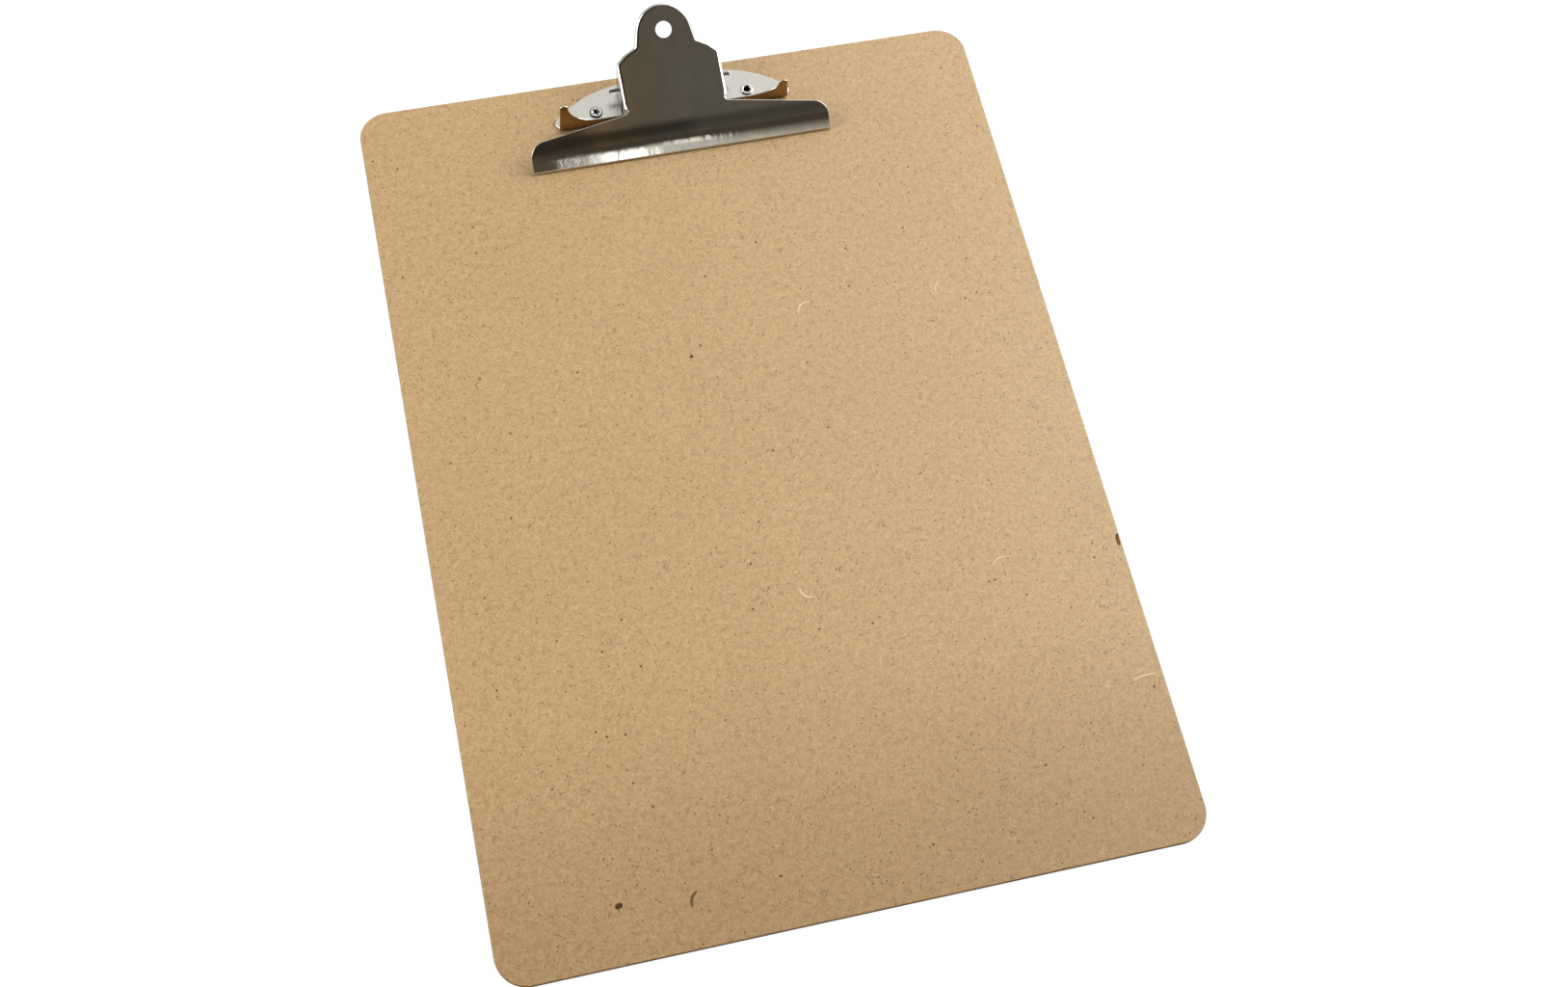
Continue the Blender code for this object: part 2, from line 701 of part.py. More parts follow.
def pin_profile():
    """Half section of the hinge pin along its axis, with both ends slightly upset."""
    end = LEVER_HALF_WIDTH + PIN_OVERHANG
    half = [
        (0, end),
        (PIN_RADIUS * 0.6, end - PIN_RADIUS * 0.1),
        (PIN_UPSET_RADIUS, end - PIN_RADIUS * 0.5),
        (PIN_UPSET_RADIUS, end - PIN_RADIUS * 0.9),
        (PIN_RADIUS, end - PIN_RADIUS * 1.3),
    ]
    return [(radius, -along) for radius, along in half] + half[::-1]


def make_hinge_pin(material):
    bm = bmesh.new()
    turned_body(bm, pin_profile(), lambda a, b, along: (along, PIN_Y + a, PIN_Z + b))
    pin = add_object("hinge_pin", bm, material, origin=(0, PIN_Y, PIN_Z))
    shade_round(pin)
    return pin


def leg_tangent(target, side):
    """Angle on the coil at which a straight leg leaves it for a target point (y, z)."""
    away = Vector((target[0] - PIN_Y, target[1] - PIN_Z))
    bearing = math.atan2(away.y, away.x)
    return bearing + side * math.acos(COIL_RADIUS / away.length)


def spring_path():
    """Centre line of the torsion spring: a leg on the base plate, the coil, a leg under the lever."""
    reach = WIRE_RADIUS + GAP
    low_end = (CLIP_TOP - WING_REAR_SETBACK - LOW_LEG_SETBACK, PLATE_TOP + reach)
    under = lever_place(0, body_run_at(PIN_Y + HIGH_LEG_REACH), SHEET + reach)
    high_end = (under.y, under.z)
    start = leg_tangent(low_end, -1)
    finish = leg_tangent(high_end, 1)
    sweep = start - finish + 2 * math.pi * COIL_TURNS
    while sweep > 2 * math.pi * COIL_TURNS:
        sweep -= 2 * math.pi
    steps = round(WIRE_STEPS_PER_TURN * sweep / (2 * math.pi))
    length = COIL_PITCH * sweep / (2 * math.pi)
    points = [(-length / 2, *low_end)]
    for k in range(steps + 1):
        angle = start - sweep * k / steps
        y = PIN_Y + COIL_RADIUS * math.cos(angle)
        z = PIN_Z + COIL_RADIUS * math.sin(angle)
        points.append((-length / 2 + length * k / steps, y, z))
    points.append((length / 2, *high_end))
    return points


def make_torsion_spring(material):
    curve = bpy.data.curves.new("torsion_spring", "CURVE")
    curve.dimensions = "3D"
    curve.bevel_depth = WIRE_RADIUS
    curve.bevel_resolution = 2
    curve.use_fill_caps = True
    spline = curve.splines.new("POLY")
    path = spring_path()
    spline.points.add(len(path) - 1)
    for point, place in zip(spline.points, path):
        point.co = (place[0], place[1] - PIN_Y, place[2] - PIN_Z, 1)
    curve.materials.append(material)
    spring = bpy.data.objects.new("torsion_spring", curve)
    spring.location = (0, PIN_Y, PIN_Z)
    bpy.context.scene.collection.objects.link(spring)
    return spring


# ---------------------------------------------------------------- assembly


def main():
    clear_scene()
    make_board(make_material("hardboard", (0.54, 0.37, 0.22), 0.75, 0.0))
    make_base_plate(make_material("base_nickel", (0.70, 0.69, 0.66), 0.18, 1.0))
    make_lever_plate(make_material("lever_nickel", (0.66, 0.65, 0.62), 0.15, 1.0))
    make_hinge_pin(make_material("pin_steel", (0.60, 0.59, 0.57), 0.25, 1.0))
    make_torsion_spring(make_material("spring_steel", (0.35, 0.34, 0.33), 0.35, 1.0))
    make_rivet("rivet_left", -1, make_material("rivet_left_nickel", (0.72, 0.71, 0.68), 0.2, 1.0))
    make_rivet("rivet_right", 1, make_material("rivet_right_nickel", (0.72, 0.71, 0.68), 0.2, 1.0))


main()
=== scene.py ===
"""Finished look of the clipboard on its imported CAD: finer sheet metal, materials, light and camera."""
import json
from math import acos, atan2, copysign, cos, pi, radians, sin, sqrt, tan

import bmesh
import bpy
from mathutils import Matrix, Vector
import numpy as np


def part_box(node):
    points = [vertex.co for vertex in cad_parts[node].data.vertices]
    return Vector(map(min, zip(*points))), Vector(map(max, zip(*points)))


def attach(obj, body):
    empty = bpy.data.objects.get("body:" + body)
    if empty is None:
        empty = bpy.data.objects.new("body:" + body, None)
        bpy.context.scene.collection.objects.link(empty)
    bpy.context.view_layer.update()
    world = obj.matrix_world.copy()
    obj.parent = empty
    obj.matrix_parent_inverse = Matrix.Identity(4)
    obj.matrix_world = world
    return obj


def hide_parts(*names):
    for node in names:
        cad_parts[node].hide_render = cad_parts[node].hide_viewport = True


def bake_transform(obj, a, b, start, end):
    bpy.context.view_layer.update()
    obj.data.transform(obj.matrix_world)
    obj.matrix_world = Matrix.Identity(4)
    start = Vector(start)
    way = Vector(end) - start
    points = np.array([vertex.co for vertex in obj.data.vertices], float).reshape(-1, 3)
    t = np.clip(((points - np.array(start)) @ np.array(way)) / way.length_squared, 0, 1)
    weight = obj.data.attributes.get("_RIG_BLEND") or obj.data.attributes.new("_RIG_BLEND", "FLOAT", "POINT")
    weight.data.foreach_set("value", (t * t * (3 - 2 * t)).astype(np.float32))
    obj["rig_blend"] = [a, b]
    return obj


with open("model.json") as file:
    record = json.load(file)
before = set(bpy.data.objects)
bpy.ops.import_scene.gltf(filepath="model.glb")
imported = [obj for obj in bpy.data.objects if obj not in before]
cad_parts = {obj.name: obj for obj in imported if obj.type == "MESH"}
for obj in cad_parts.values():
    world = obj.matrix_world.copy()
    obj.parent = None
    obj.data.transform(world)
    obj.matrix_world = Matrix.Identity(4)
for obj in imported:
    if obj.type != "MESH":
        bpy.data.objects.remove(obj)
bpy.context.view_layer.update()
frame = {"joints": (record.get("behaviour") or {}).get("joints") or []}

BOARD_LOW, BOARD_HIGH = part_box("board")
BASE_LOW, BASE_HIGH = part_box("base_plate")
LEVER_LOW, LEVER_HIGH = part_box("lever_plate")
PIN_LOW, PIN_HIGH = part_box("hinge_pin")
RIVET_LOW, RIVET_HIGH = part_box("rivet_right")
HINGE = Vector(frame["joints"][0]["pos_m"])

# Shared by the stampings
SHEET = 0.0010
GAP = 0.0003
EDGE_REACH = 0.00040      # how far the round of a sheet's edge reaches in from its outline
CLIP_TOP = BOARD_HIGH.y
BOARD_TOP = BOARD_HIGH.z
PIN_Y = HINGE.y
PIN_Z = HINGE.z

# Board
BOARD_CORNER_RADIUS = 0.0145
BOARD_EDGE_ROUND = 0.0005

# Rivets
RIVET_X = (RIVET_LOW.x + RIVET_HIGH.x) / 2
RIVET_Y = (RIVET_LOW.y + RIVET_HIGH.y) / 2
RIVET_SHANK_RADIUS = 0.0020
RIVET_HEAD_RADIUS = (RIVET_HIGH.x - RIVET_LOW.x) / 2
RIVET_HEAD_THICKNESS = 0.0008
RIVET_RING_RADIUS = 0.00325
RIVET_RING_HEIGHT = 0.0005
RIVET_CLEARANCE = 0.0003
RIVET_SIDES = 120
STAR_TURN = 0.9
STAR_SHARPNESS = 1.4

# Base plate
PLATE_BOTTOM = BASE_LOW.z
PLATE_TOP = PLATE_BOTTOM + SHEET
FLANGE_Y = BASE_LOW.y
FLANGE_HEIGHT = 0.0055
FLANGE_BEND_RADIUS = 0.0016
HORN_HEIGHT_LEFT = BASE_HIGH.z - BASE_LOW.z
HORN_HEIGHT_RIGHT = HORN_HEIGHT_LEFT - 0.0060
HORN_OUTER_X = 0.0590
HORN_TOP_WIDTH = 0.0051
HORN_INNER_ROUND = 0.0018
HORN_OUTER_ROUND = 0.0014
HORN_NARROWING = 0.055
HORN_SWEEP_REACH = 0.0150
WING_REAR_SETBACK = 0.0047
WING_FLAT_HALF = 0.0200
WING_ARC_RADIUS = 0.0580
WING_TIP_BULGE = BASE_HIGH.x - HORN_OUTER_X
BASE_EAR_SIDE_GAP = 0.0030
BASE_EAR_HALF_LENGTH = 0.0052
BASE_EAR_RISE = 0.0048
EAR_WINDOW_WIDTH = 0.0114

# Lever plate
LIP_SLOPE = radians(64)
BODY_SLOPE = radians(19)
TAB_SLOPE = radians(40)
LIP_Y = LEVER_LOW.y
LIP_Z = LEVER_LOW.z + SHEET * cos(LIP_SLOPE)
JAW_BEND_RADIUS = 0.0270
BODY_RUN = 0.02565
TAB_BEND_RADIUS = 0.0150
JAW_HALF_WIDTH = LEVER_HIGH.x
JAW_END_RUN = 0.0078
JAW_CORNER_RADIUS = 0.0085
ARM_TAPER = radians(9.2)
ARM_FILLET_RADIUS = 0.0022
PIN_OVERHANG = 0.0052
LEVER_HALF_WIDTH = PIN_HIGH.x - PIN_OVERHANG
RIM_RADIUS = 0.0017
RIM_DROP = 0.0016
RIM_FADE = 0.0028
TAB_RADIUS = 0.0144
TAB_TAPER = radians(12)
TAB_CENTRE_RUN = 0.0609
SHOULDER_START = 0.0121
SHOULDER_TURN = 0.0083
TAB_NOTCH = 0.0052
SHOULDER_INSET = 0.0044
SHOULDER_CORNER_RADIUS = 0.0030
SHOULDER_TURN_RADIUS = 0.0120
TAB_NOTCH_RADIUS = 0.0022
HOLE_RADIUS = 0.0041
HOLE_CENTRE_RUN = 0.0625
LEVER_EAR_RADIUS = 0.0060
LEVER_EAR_FRONT = 0.0085
EAR_FLAT_SHARE = 0.4      # of the ear's lower edge, before its round
EAR_SWEEP = radians(110)
LEVER_REACH = 0.2000      # longer than the lever, so its last straight run never ends
CUT_EDGE = "cut_edge"     # vertex layer that marks the cut edges of a sheet
TINY = 1e-6               # lengths and angles below this count as nothing

# Pin and spring
PIN_UPSET_RADIUS = (PIN_HIGH.y - PIN_LOW.y) / 2
PIN_RADIUS = 0.0010
PIN_CLEARANCE = 0.00006
PIN_UPSET = PIN_UPSET_RADIUS / PIN_RADIUS
# Half of the pin's end: distance from its axis and back from its tip, in shares of its radius
PIN_END = (
    (0.0, 0.0), (0.45, 0.02), (0.80, 0.12), (1.06, 0.30),
    (PIN_UPSET, 0.55), (PIN_UPSET, 0.90), (1.05, 1.15), (1.0, 1.30),
)
WIRE_RADIUS = 0.0008
COIL_RADIUS = 0.0037
COIL_TURNS = 8
COIL_PITCH = 0.0020
SPRING_FOOT_INSET = 0.0012
SPRING_HEAD_REACH = 0.0030

# Fineness
ROUND_STEPS = 64
BEND_STEPS = 8
WIRE_STEPS_PER_TURN = 40
WIRE_SIDES = 14
JAW_ROWS = 44
BODY_COLUMNS = 18
EDGE_STEPS = 6


# ---- pieces and modifiers


def clipped(mesh_object):
    """Replaces an object's mesh with what its modifiers make of it."""
    graph = bpy.context.evaluated_depsgraph_get()
    made = bpy.data.meshes.new_from_object(mesh_object.evaluated_get(graph))
    mesh_object.modifiers.clear()
    mesh_object.data = made


def put_in_scene(name, data):
    item = bpy.data.objects.new(name, data)
    bpy.context.scene.collection.objects.link(item)
    return item


def add_object(name, bm):
    mesh = bpy.data.meshes.new(name)
    bm.to_mesh(mesh)
    bm.free()
    return put_in_scene(name, mesh)


def combine(item, name, bm, operation):
    """Cuts or joins a tool shape into an item, and removes the tool."""
    tool = add_object(name, bm)
    modifier = item.modifiers.new(name, "BOOLEAN")
    modifier.operation = operation
    modifier.object = tool
    modifier.solver = "EXACT"
    clipped(item)
    bpy.data.objects.remove(tool)


def smooth_rounds(item, sharp_degrees, keep_flats=False):
    """Smooths an item's rounds, but not its corners sharper than an angle. Flats can be kept flat."""
    item.data.shade_smooth()
    item.data.set_sharp_from_angle(angle=radians(sharp_degrees))
    if keep_flats:
        item.modifiers.new("flat_faces", "WEIGHTED_NORMAL").keep_sharp = True


def hand_over(item, material, body, node):
    """Gives a finished piece its material and its place on the CAD."""
    item.data.materials.clear()
    item.data.materials.append(material)
    if body:
        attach(item, body)
    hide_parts(node)


# ---- drawing helpers


def arc(centre, radius, start, end, steps):
    points = []
    for k in range(steps + 1):
        angle = start + (end - start) * k / steps
        points.append((centre[0] + radius * cos(angle), centre[1] + radius * sin(angle)))
    return points


def straight(start, end, steps):
    points = []
    for k in range(steps + 1):
        share = k / steps
        points.append(tuple(a + (b - a) * share for a, b in zip(start, end)))
    return points


def rounded_corner(before, corner, after, radius, steps):
    """Points of the arc that rounds a corner between two straight runs."""
    corner = Vector(corner)
    back = (Vector(before) - corner).normalized()
    ahead = (Vector(after) - corner).normalized()
    half = back.angle(ahead) / 2
    reach = radius / tan(half)
    centre = corner + (back + ahead).normalized() * (radius / sin(half))
    first = corner + back * reach - centre
    last = corner + ahead * reach - centre
    sweep = first.angle_signed(last)
    points = []
    for k in range(steps + 1):
        turned = first.copy()
        turned.rotate(Matrix.Rotation(-sweep * k / steps, 2))
        points.append(tuple(centre + turned))
    return points


def prism(bm, outline, place, depth):
    low = [bm.verts.new(place(a, b, depth[0])) for a, b in outline]
    high = [bm.verts.new(place(a, b, depth[1])) for a, b in outline]
    count = len(outline)
    faces = [bm.faces.new(low), bm.faces.new(high)]
    for k in range(count):
        nxt = (k + 1) % count
        faces.append(bm.faces.new((low[k], low[nxt], high[nxt], high[k])))
    bmesh.ops.recalc_face_normals(bm, faces=faces)


def cylinder(bm, centre, radius, axis, length):
    turn = Vector((0, 0, 1)).rotation_difference(Vector(axis)).to_matrix()
    circle = arc((0, 0), radius, 0, 2 * pi, ROUND_STEPS)[:-1]
    prism(bm, circle, lambda a, b, h: Vector(centre) + turn @ Vector((a, b, h)), (-length / 2, length / 2))


def drill(item, centres, radius, axis, length):
    """Cuts a round hole at each centre."""
    bm = bmesh.new()
    for centre in centres:
        cylinder(bm, centre, radius, axis, length)
    combine(item, "holes", bm, "DIFFERENCE")


def drill_for_pin(item, ear_x):
    centres = [(side * ear_x, PIN_Y, PIN_Z) for side in (-1, 1)]
    drill(item, centres, PIN_RADIUS + PIN_CLEARANCE, (1, 0, 0), 4 * SHEET)


def add_grid(bm, rows):
    for lower, upper in zip(rows, rows[1:]):
        for k in range(len(lower) - 1):
            corners = list(dict.fromkeys((lower[k], lower[k + 1], upper[k + 1], upper[k])))
            if len(corners) > 2:
                bm.faces.new(corners)


def add_rings(bm, rings):
    """Joins closed rings of vertices, some of them single points, into one closed body."""
    for lower, upper in zip(rings, rings[1:]):
        count = max(len(lower), len(upper))
        for k in range(count):
            nxt = (k + 1) % count
            corners = [lower[k % len(lower)], lower[nxt % len(lower)]]
            corners += [upper[nxt % len(upper)], upper[k % len(upper)]]
            bm.faces.new(list(dict.fromkeys(corners)))
    bmesh.ops.recalc_face_normals(bm, faces=bm.faces)


def new_sheet():
    bm = bmesh.new()
    bm.verts.layers.float.new(CUT_EDGE)
    return bm


def add_pair(bm, top, bottom):
    """A point of the sheet: one vertex on its top face and one on its bottom face."""
    return bm.verts.new(top), bm.verts.new(bottom)


def add_sheet_faces(bm, rows):
    for layer in (0, 1):
        add_grid(bm, [[pair[layer] for pair in row] for row in rows])


def round_sheet_edge(bm, loop):
    """Closes a sheet round its border and marks the round of the cut edge for the material.

    The loop runs anticlockwise seen from the top face.
    """
    mark = bm.verts.layers.float[CUT_EDGE]
    count = len(loop)
    rings = [[pair[0] for pair in loop]]
    for step in range(1, EDGE_STEPS):
        angle = pi / 2 - pi * step / EDGE_STEPS
        ring = []
        for k, (top, bottom) in enumerate(loop):
            before = loop[k - 1]
            after = loop[(k + 1) % count]
            along = after[0].co + after[1].co - before[0].co - before[1].co
            up = (top.co - bottom.co) / 2
            out = along.cross(up).normalized() * EDGE_REACH
            middle = (top.co + bottom.co) / 2
            vert = bm.verts.new(middle + out * cos(angle) + up * sin(angle))
            vert[mark] = 1.0
            ring.append(vert)
        rings.append(ring)
    rings.append([pair[1] for pair in loop])
    add_rings(bm, rings)


def outward_normals(points):
    """Unit normals on the right of an open path."""
    normals = []
    for k in range(len(points)):
        before = Vector(points[max(k - 1, 0)])
        after = Vector(points[min(k + 1, len(points) - 1)])
        along = (after - before).normalized()
        normals.append(Vector((along.y, -along.x)))
    return normals


# ---- board


def board_ring(inset, z):
    """Outline of the board drawn in by an inset."""
    radius = BOARD_CORNER_RADIUS - inset
    half_x = BOARD_HIGH.x - BOARD_CORNER_RADIUS
    half_y = BOARD_HIGH.y - BOARD_CORNER_RADIUS
    corners = ((half_x, half_y), (-half_x, half_y), (-half_x, -half_y), (half_x, -half_y))
    points = []
    for quarter, centre in enumerate(corners):
        start = quarter * pi / 2
        points += [(x, y, z) for x, y in arc(centre, radius, start, start + pi / 2, 24)]
    return points


def build_board(material):
    bm = bmesh.new()
    profile = []
    for angle_step in range(5):
        angle = pi / 2 * angle_step / 4
        inset = BOARD_EDGE_ROUND * (1 - sin(angle))
        profile.append((inset, BOARD_EDGE_ROUND * (1 - cos(angle))))
    upper = [(inset, BOARD_TOP - z) for inset, z in profile[::-1]]
    rings = []
    for inset, z in profile + upper:
        rings.append([bm.verts.new(point) for point in board_ring(inset, z)])
    add_rings(bm, rings)
    bm.faces.new(rings[0])
    bm.faces.new(rings[-1])
    bmesh.ops.recalc_face_normals(bm, faces=bm.faces)
    board = add_object("board_panel", bm)
    rivets = [(side * RIVET_X, RIVET_Y, 0) for side in (-1, 1)]
    head_depth = 2 * (RIVET_HEAD_THICKNESS + RIVET_CLEARANCE)
    drill(board, rivets, RIVET_SHANK_RADIUS + RIVET_CLEARANCE, (0, 0, 1), 4 * BOARD_TOP)
    drill(board, rivets, RIVET_HEAD_RADIUS + RIVET_CLEARANCE, (0, 0, 1), head_depth)
    smooth_rounds(board, 35, keep_flats=True)
    hand_over(board, material, "base", "board")


# ---- rivets


def rivet_profile():
    """Half section as (radius, height, share of the mouth's outline), from the head to the bore's floor."""
    head_low = RIVET_LOW.z
    head_high = head_low + RIVET_HEAD_THICKNESS
    head = RIVET_HEAD_RADIUS
    seat = RIVET_HIGH.z - RIVET_RING_HEIGHT
    ring = RIVET_RING_RADIUS
    points = [(0, head_low, 0)]
    for r, z in arc((head * 0.9, head_low + head * 0.1), head * 0.1, -pi / 2, pi / 2, 6):
        points.append((r, z, 0))
    points[-1] = (head * 0.9, head_high, 0)
    points.append((RIVET_SHANK_RADIUS, head_high, 0))
    points.append((RIVET_SHANK_RADIUS, seat, 0))
    crown = ring * 0.74
    half = ring - crown
    for a, b in arc((0, 0), 1, -pi / 2, pi / 2, 12):
        points.append((crown + half * a, seat + RIVET_RING_HEIGHT * (1 + b) / 2, 0))
    for k in range(1, 9):
        share = k / 8
        z = RIVET_HIGH.z - RIVET_RING_HEIGHT * 0.9 * share ** 2
        points.append((crown, z, sin(share * pi / 2)))
    points.append((crown, (BOARD_TOP + PLATE_TOP) / 2, 1))
    points.append((0, BOARD_TOP / 2, 1))
    return points


def build_rivet(name, side, mouth, petals, material, node):
    """A tubular rivet. With petals, the clinched end has split, so its mouth is star-shaped."""
    bm = bmesh.new()
    rings = []
    for radius, height, share in rivet_profile():
        if radius == 0:
            rings.append([bm.verts.new((side * RIVET_X, RIVET_Y, height))])
            continue
        ring = []
        for a, b in arc((0, 0), 1, 0, 2 * pi, RIVET_SIDES)[:-1]:
            wave = (1 + cos(petals * atan2(b, a) + STAR_TURN)) / 2
            opening = mouth[0] + (mouth[1] - mouth[0]) * wave ** STAR_SHARPNESS
            r = radius + (opening - radius) * share
            ring.append(bm.verts.new((side * RIVET_X + r * a, RIVET_Y + r * b, height)))
        rings.append(ring)
    add_rings(bm, rings)
    rivet = add_object(name, bm)
    smooth_rounds(rivet, 55)
    hand_over(rivet, material, "base", node)


# ---- base plate


def wing_rear(x):
    beyond = max(0.0, abs(x) - WING_FLAT_HALF)
    drop = WING_ARC_RADIUS - sqrt(WING_ARC_RADIUS ** 2 - beyond ** 2)
    return CLIP_TOP - WING_REAR_SETBACK - drop


def flange_edge(horn_height):
    inner_x = HORN_OUTER_X - HORN_TOP_WIDTH
    sweep_start = inner_x - HORN_SWEEP_REACH
    sweep_rise = horn_height - HORN_INNER_ROUND - FLANGE_HEIGHT
    points = straight((0, FLANGE_HEIGHT), (sweep_start, FLANGE_HEIGHT), 16)
    for a, b in arc((0, 0), 1, -pi / 2, 0, 24)[1:]:
        points.append((sweep_start + HORN_SWEEP_REACH * a, FLANGE_HEIGHT + sweep_rise * (1 + b)))
    inner_centre = (inner_x + HORN_INNER_ROUND, horn_height - HORN_INNER_ROUND)
    outer_centre = (HORN_OUTER_X - HORN_OUTER_ROUND, horn_height - HORN_OUTER_ROUND)
    points += arc(inner_centre, HORN_INNER_ROUND, pi, pi / 2, 10)[1:]
    points += arc(outer_centre, HORN_OUTER_ROUND, pi / 2, 0, 10)
    inset = []
    for point, normal in zip(points, outward_normals(points)):
        inset.append(tuple(Vector(point) + normal * EDGE_REACH))
    return inset


def base_column(x, top, depth, bulge):
    """One column from the rear edge, over the board, round the bend and up the flange."""
    bend = FLANGE_BEND_RADIUS
    lean = max(0.0, abs(x) - WING_FLAT_HALF) / WING_ARC_RADIUS
    rear = wing_rear(x) - EDGE_REACH / sqrt(1 - lean ** 2)
    front = FLANGE_Y + bend
    points = []
    for k in range(13):
        share = k / 12
        swell = copysign(bulge * sin(pi * share), x)
        points.append((x + swell, rear + (front - rear) * share, PLATE_BOTTOM + depth))
    centre = (front, PLATE_BOTTOM + bend)
    for y, z in arc(centre, bend - depth, -pi / 2, -pi, BEND_STEPS)[1:]:
        points.append((x, y, z))
    share = max(0.0, (abs(x) - HORN_OUTER_X + HORN_TOP_WIDTH) / HORN_TOP_WIDTH)
    for k in range(1, 4):
        height = (top - bend) * k / 3
        inwards = copysign(share * HORN_NARROWING * height, x)
        points.append((x - inwards, FLANGE_Y + depth, PLATE_BOTTOM + bend + height))
    return points


def base_ear_outline():
    low = PLATE_BOTTOM + SHEET / 3
    half = BASE_EAR_HALF_LENGTH
    crown = BASE_EAR_RISE / half
    top = [(y, PIN_Z + (z - PIN_Z) * crown) for y, z in arc((PIN_Y, PIN_Z), half, 0, pi, 32)]
    return [(PIN_Y + half, low)] + top + [(PIN_Y - half, low)]


def build_base_plate(material):
    bm = new_sheet()
    edge = [(-x, height) for x, height in flange_edge(HORN_HEIGHT_LEFT)[:0:-1]]
    edge += flange_edge(HORN_HEIGHT_RIGHT)
    grid = []
    for k, (x, top) in enumerate(edge):
        bulge = WING_TIP_BULGE if k in (0, len(edge) - 1) else 0.0
        outer_face = base_column(x, top, 0.0, bulge)
        inner_face = base_column(x, top, SHEET, bulge)
        grid.append([add_pair(bm, *pair) for pair in zip(inner_face, outer_face)])
    add_sheet_faces(bm, grid)
    loop = [column[-1] for column in grid] + grid[-1][-2:0:-1]
    loop += [column[0] for column in grid[::-1]] + grid[0][1:-1]
    round_sheet_edge(bm, loop)
    base = add_object("base_stamping", bm)
    outer = LEVER_HALF_WIDTH - SHEET - BASE_EAR_SIDE_GAP
    inner = outer - SHEET
    bm = bmesh.new()
    for side in (-1, 1):
        near = side * (inner - GAP)
        far = side * (inner - GAP - EAR_WINDOW_WIDTH)
        front = PIN_Y - BASE_EAR_HALF_LENGTH
        rear = PIN_Y + BASE_EAR_HALF_LENGTH
        window = [(near, front), (far, front), (far, rear), (near, rear)]
        prism(bm, window, lambda x, y, z: (x, y, z), (0, 2 * PLATE_TOP))
        place = (side * RIVET_X, RIVET_Y, PLATE_TOP)
        cylinder(bm, place, RIVET_SHANK_RADIUS + RIVET_CLEARANCE, (0, 0, 1), 4 * SHEET)
    combine(base, "openings", bm, "DIFFERENCE")
    bm = bmesh.new()
    for side in (-1, 1):
        prism(bm, base_ear_outline(), lambda y, z, x: (x, y, z), (side * inner, side * outer))
    combine(base, "ears", bm, "UNION")
    drill_for_pin(base, inner)
    smooth_rounds(base, 50, keep_flats=True)
    hand_over(base, material, "base", "base_plate")


# ---- lever plate


def lever_runs():
    return (
        (JAW_BEND_RADIUS * (LIP_SLOPE - BODY_SLOPE), BODY_SLOPE),
        (BODY_RUN, BODY_SLOPE),
        (TAB_BEND_RADIUS * (TAB_SLOPE - BODY_SLOPE), TAB_SLOPE),
        (LEVER_REACH, TAB_SLOPE),
    )


def lever_place(x, run, depth=0.0):
    """World point at a distance along the sheet from the lip, at a depth below its top face."""
    y, z, slope = LIP_Y, LIP_Z, LIP_SLOPE
    for length, end_slope in lever_runs():
        step = min(run, length)
        turn = (end_slope - slope) * step / length
        if abs(turn) < TINY:
            y += step * cos(slope)
            z += step * sin(slope)
        else:
            radius = step / turn
            y += radius * (sin(slope + turn) - sin(slope))
            z += radius * (cos(slope) - cos(slope + turn))
        slope += turn
        run -= step
        if run <= 0:
            break
    return Vector((x, y + depth * sin(slope), z - depth * cos(slope)))


def body_run_at(y):
    start = lever_runs()[0][0]
    return start + (y - lever_place(0, start).y) / cos(BODY_SLOPE)


def jaw_corner_start():
    radius = JAW_CORNER_RADIUS
    x = JAW_HALF_WIDTH - radius + radius * sin(ARM_TAPER)
    return x, JAW_END_RUN + radius * cos(ARM_TAPER)


def fillet_centre():
    flat_half = LEVER_HALF_WIDTH - RIM_RADIUS
    corner_x, corner_run = jaw_corner_start()
    x = flat_half + ARM_FILLET_RADIUS
    arm_run = corner_run + (corner_x - x) * tan(ARM_TAPER)
    return x, arm_run + ARM_FILLET_RADIUS / cos(ARM_TAPER)


def jaw_edge():
    flat_half = LEVER_HALF_WIDTH - RIM_RADIUS - EDGE_REACH
    centre = fillet_centre()
    points = straight((0, centre[1]), (flat_half, centre[1]), BODY_COLUMNS)
    points += arc(centre, ARM_FILLET_RADIUS + EDGE_REACH, -pi, -pi / 2 - ARM_TAPER, 8)[1:]
    corner_centre = (JAW_HALF_WIDTH - JAW_CORNER_RADIUS, JAW_END_RUN)
    corner = arc(corner_centre, JAW_CORNER_RADIUS - EDGE_REACH, pi / 2 - ARM_TAPER, 0, 18)
    points += straight(points[-1], corner[0], 16)[1:]
    points += corner[1:]
    return points


def sheet_pair(bm, x, run):
    return add_pair(bm, lever_place(x, run), lever_place(x, run, SHEET))


def add_jaw(bm):
    """Adds the jaw and returns all its columns, left to right, and the middle one's number."""
    right = jaw_edge()
    columns = [(-x, run) for x, run in right[:0:-1]] + right
    grid = []
    for x, run in columns:
        rows = [EDGE_REACH + (run - EDGE_REACH) * k / JAW_ROWS for k in range(JAW_ROWS + 1)]
        grid.append([sheet_pair(bm, x, row) for row in rows])
    add_sheet_faces(bm, grid)
    return grid, len(right) - 1


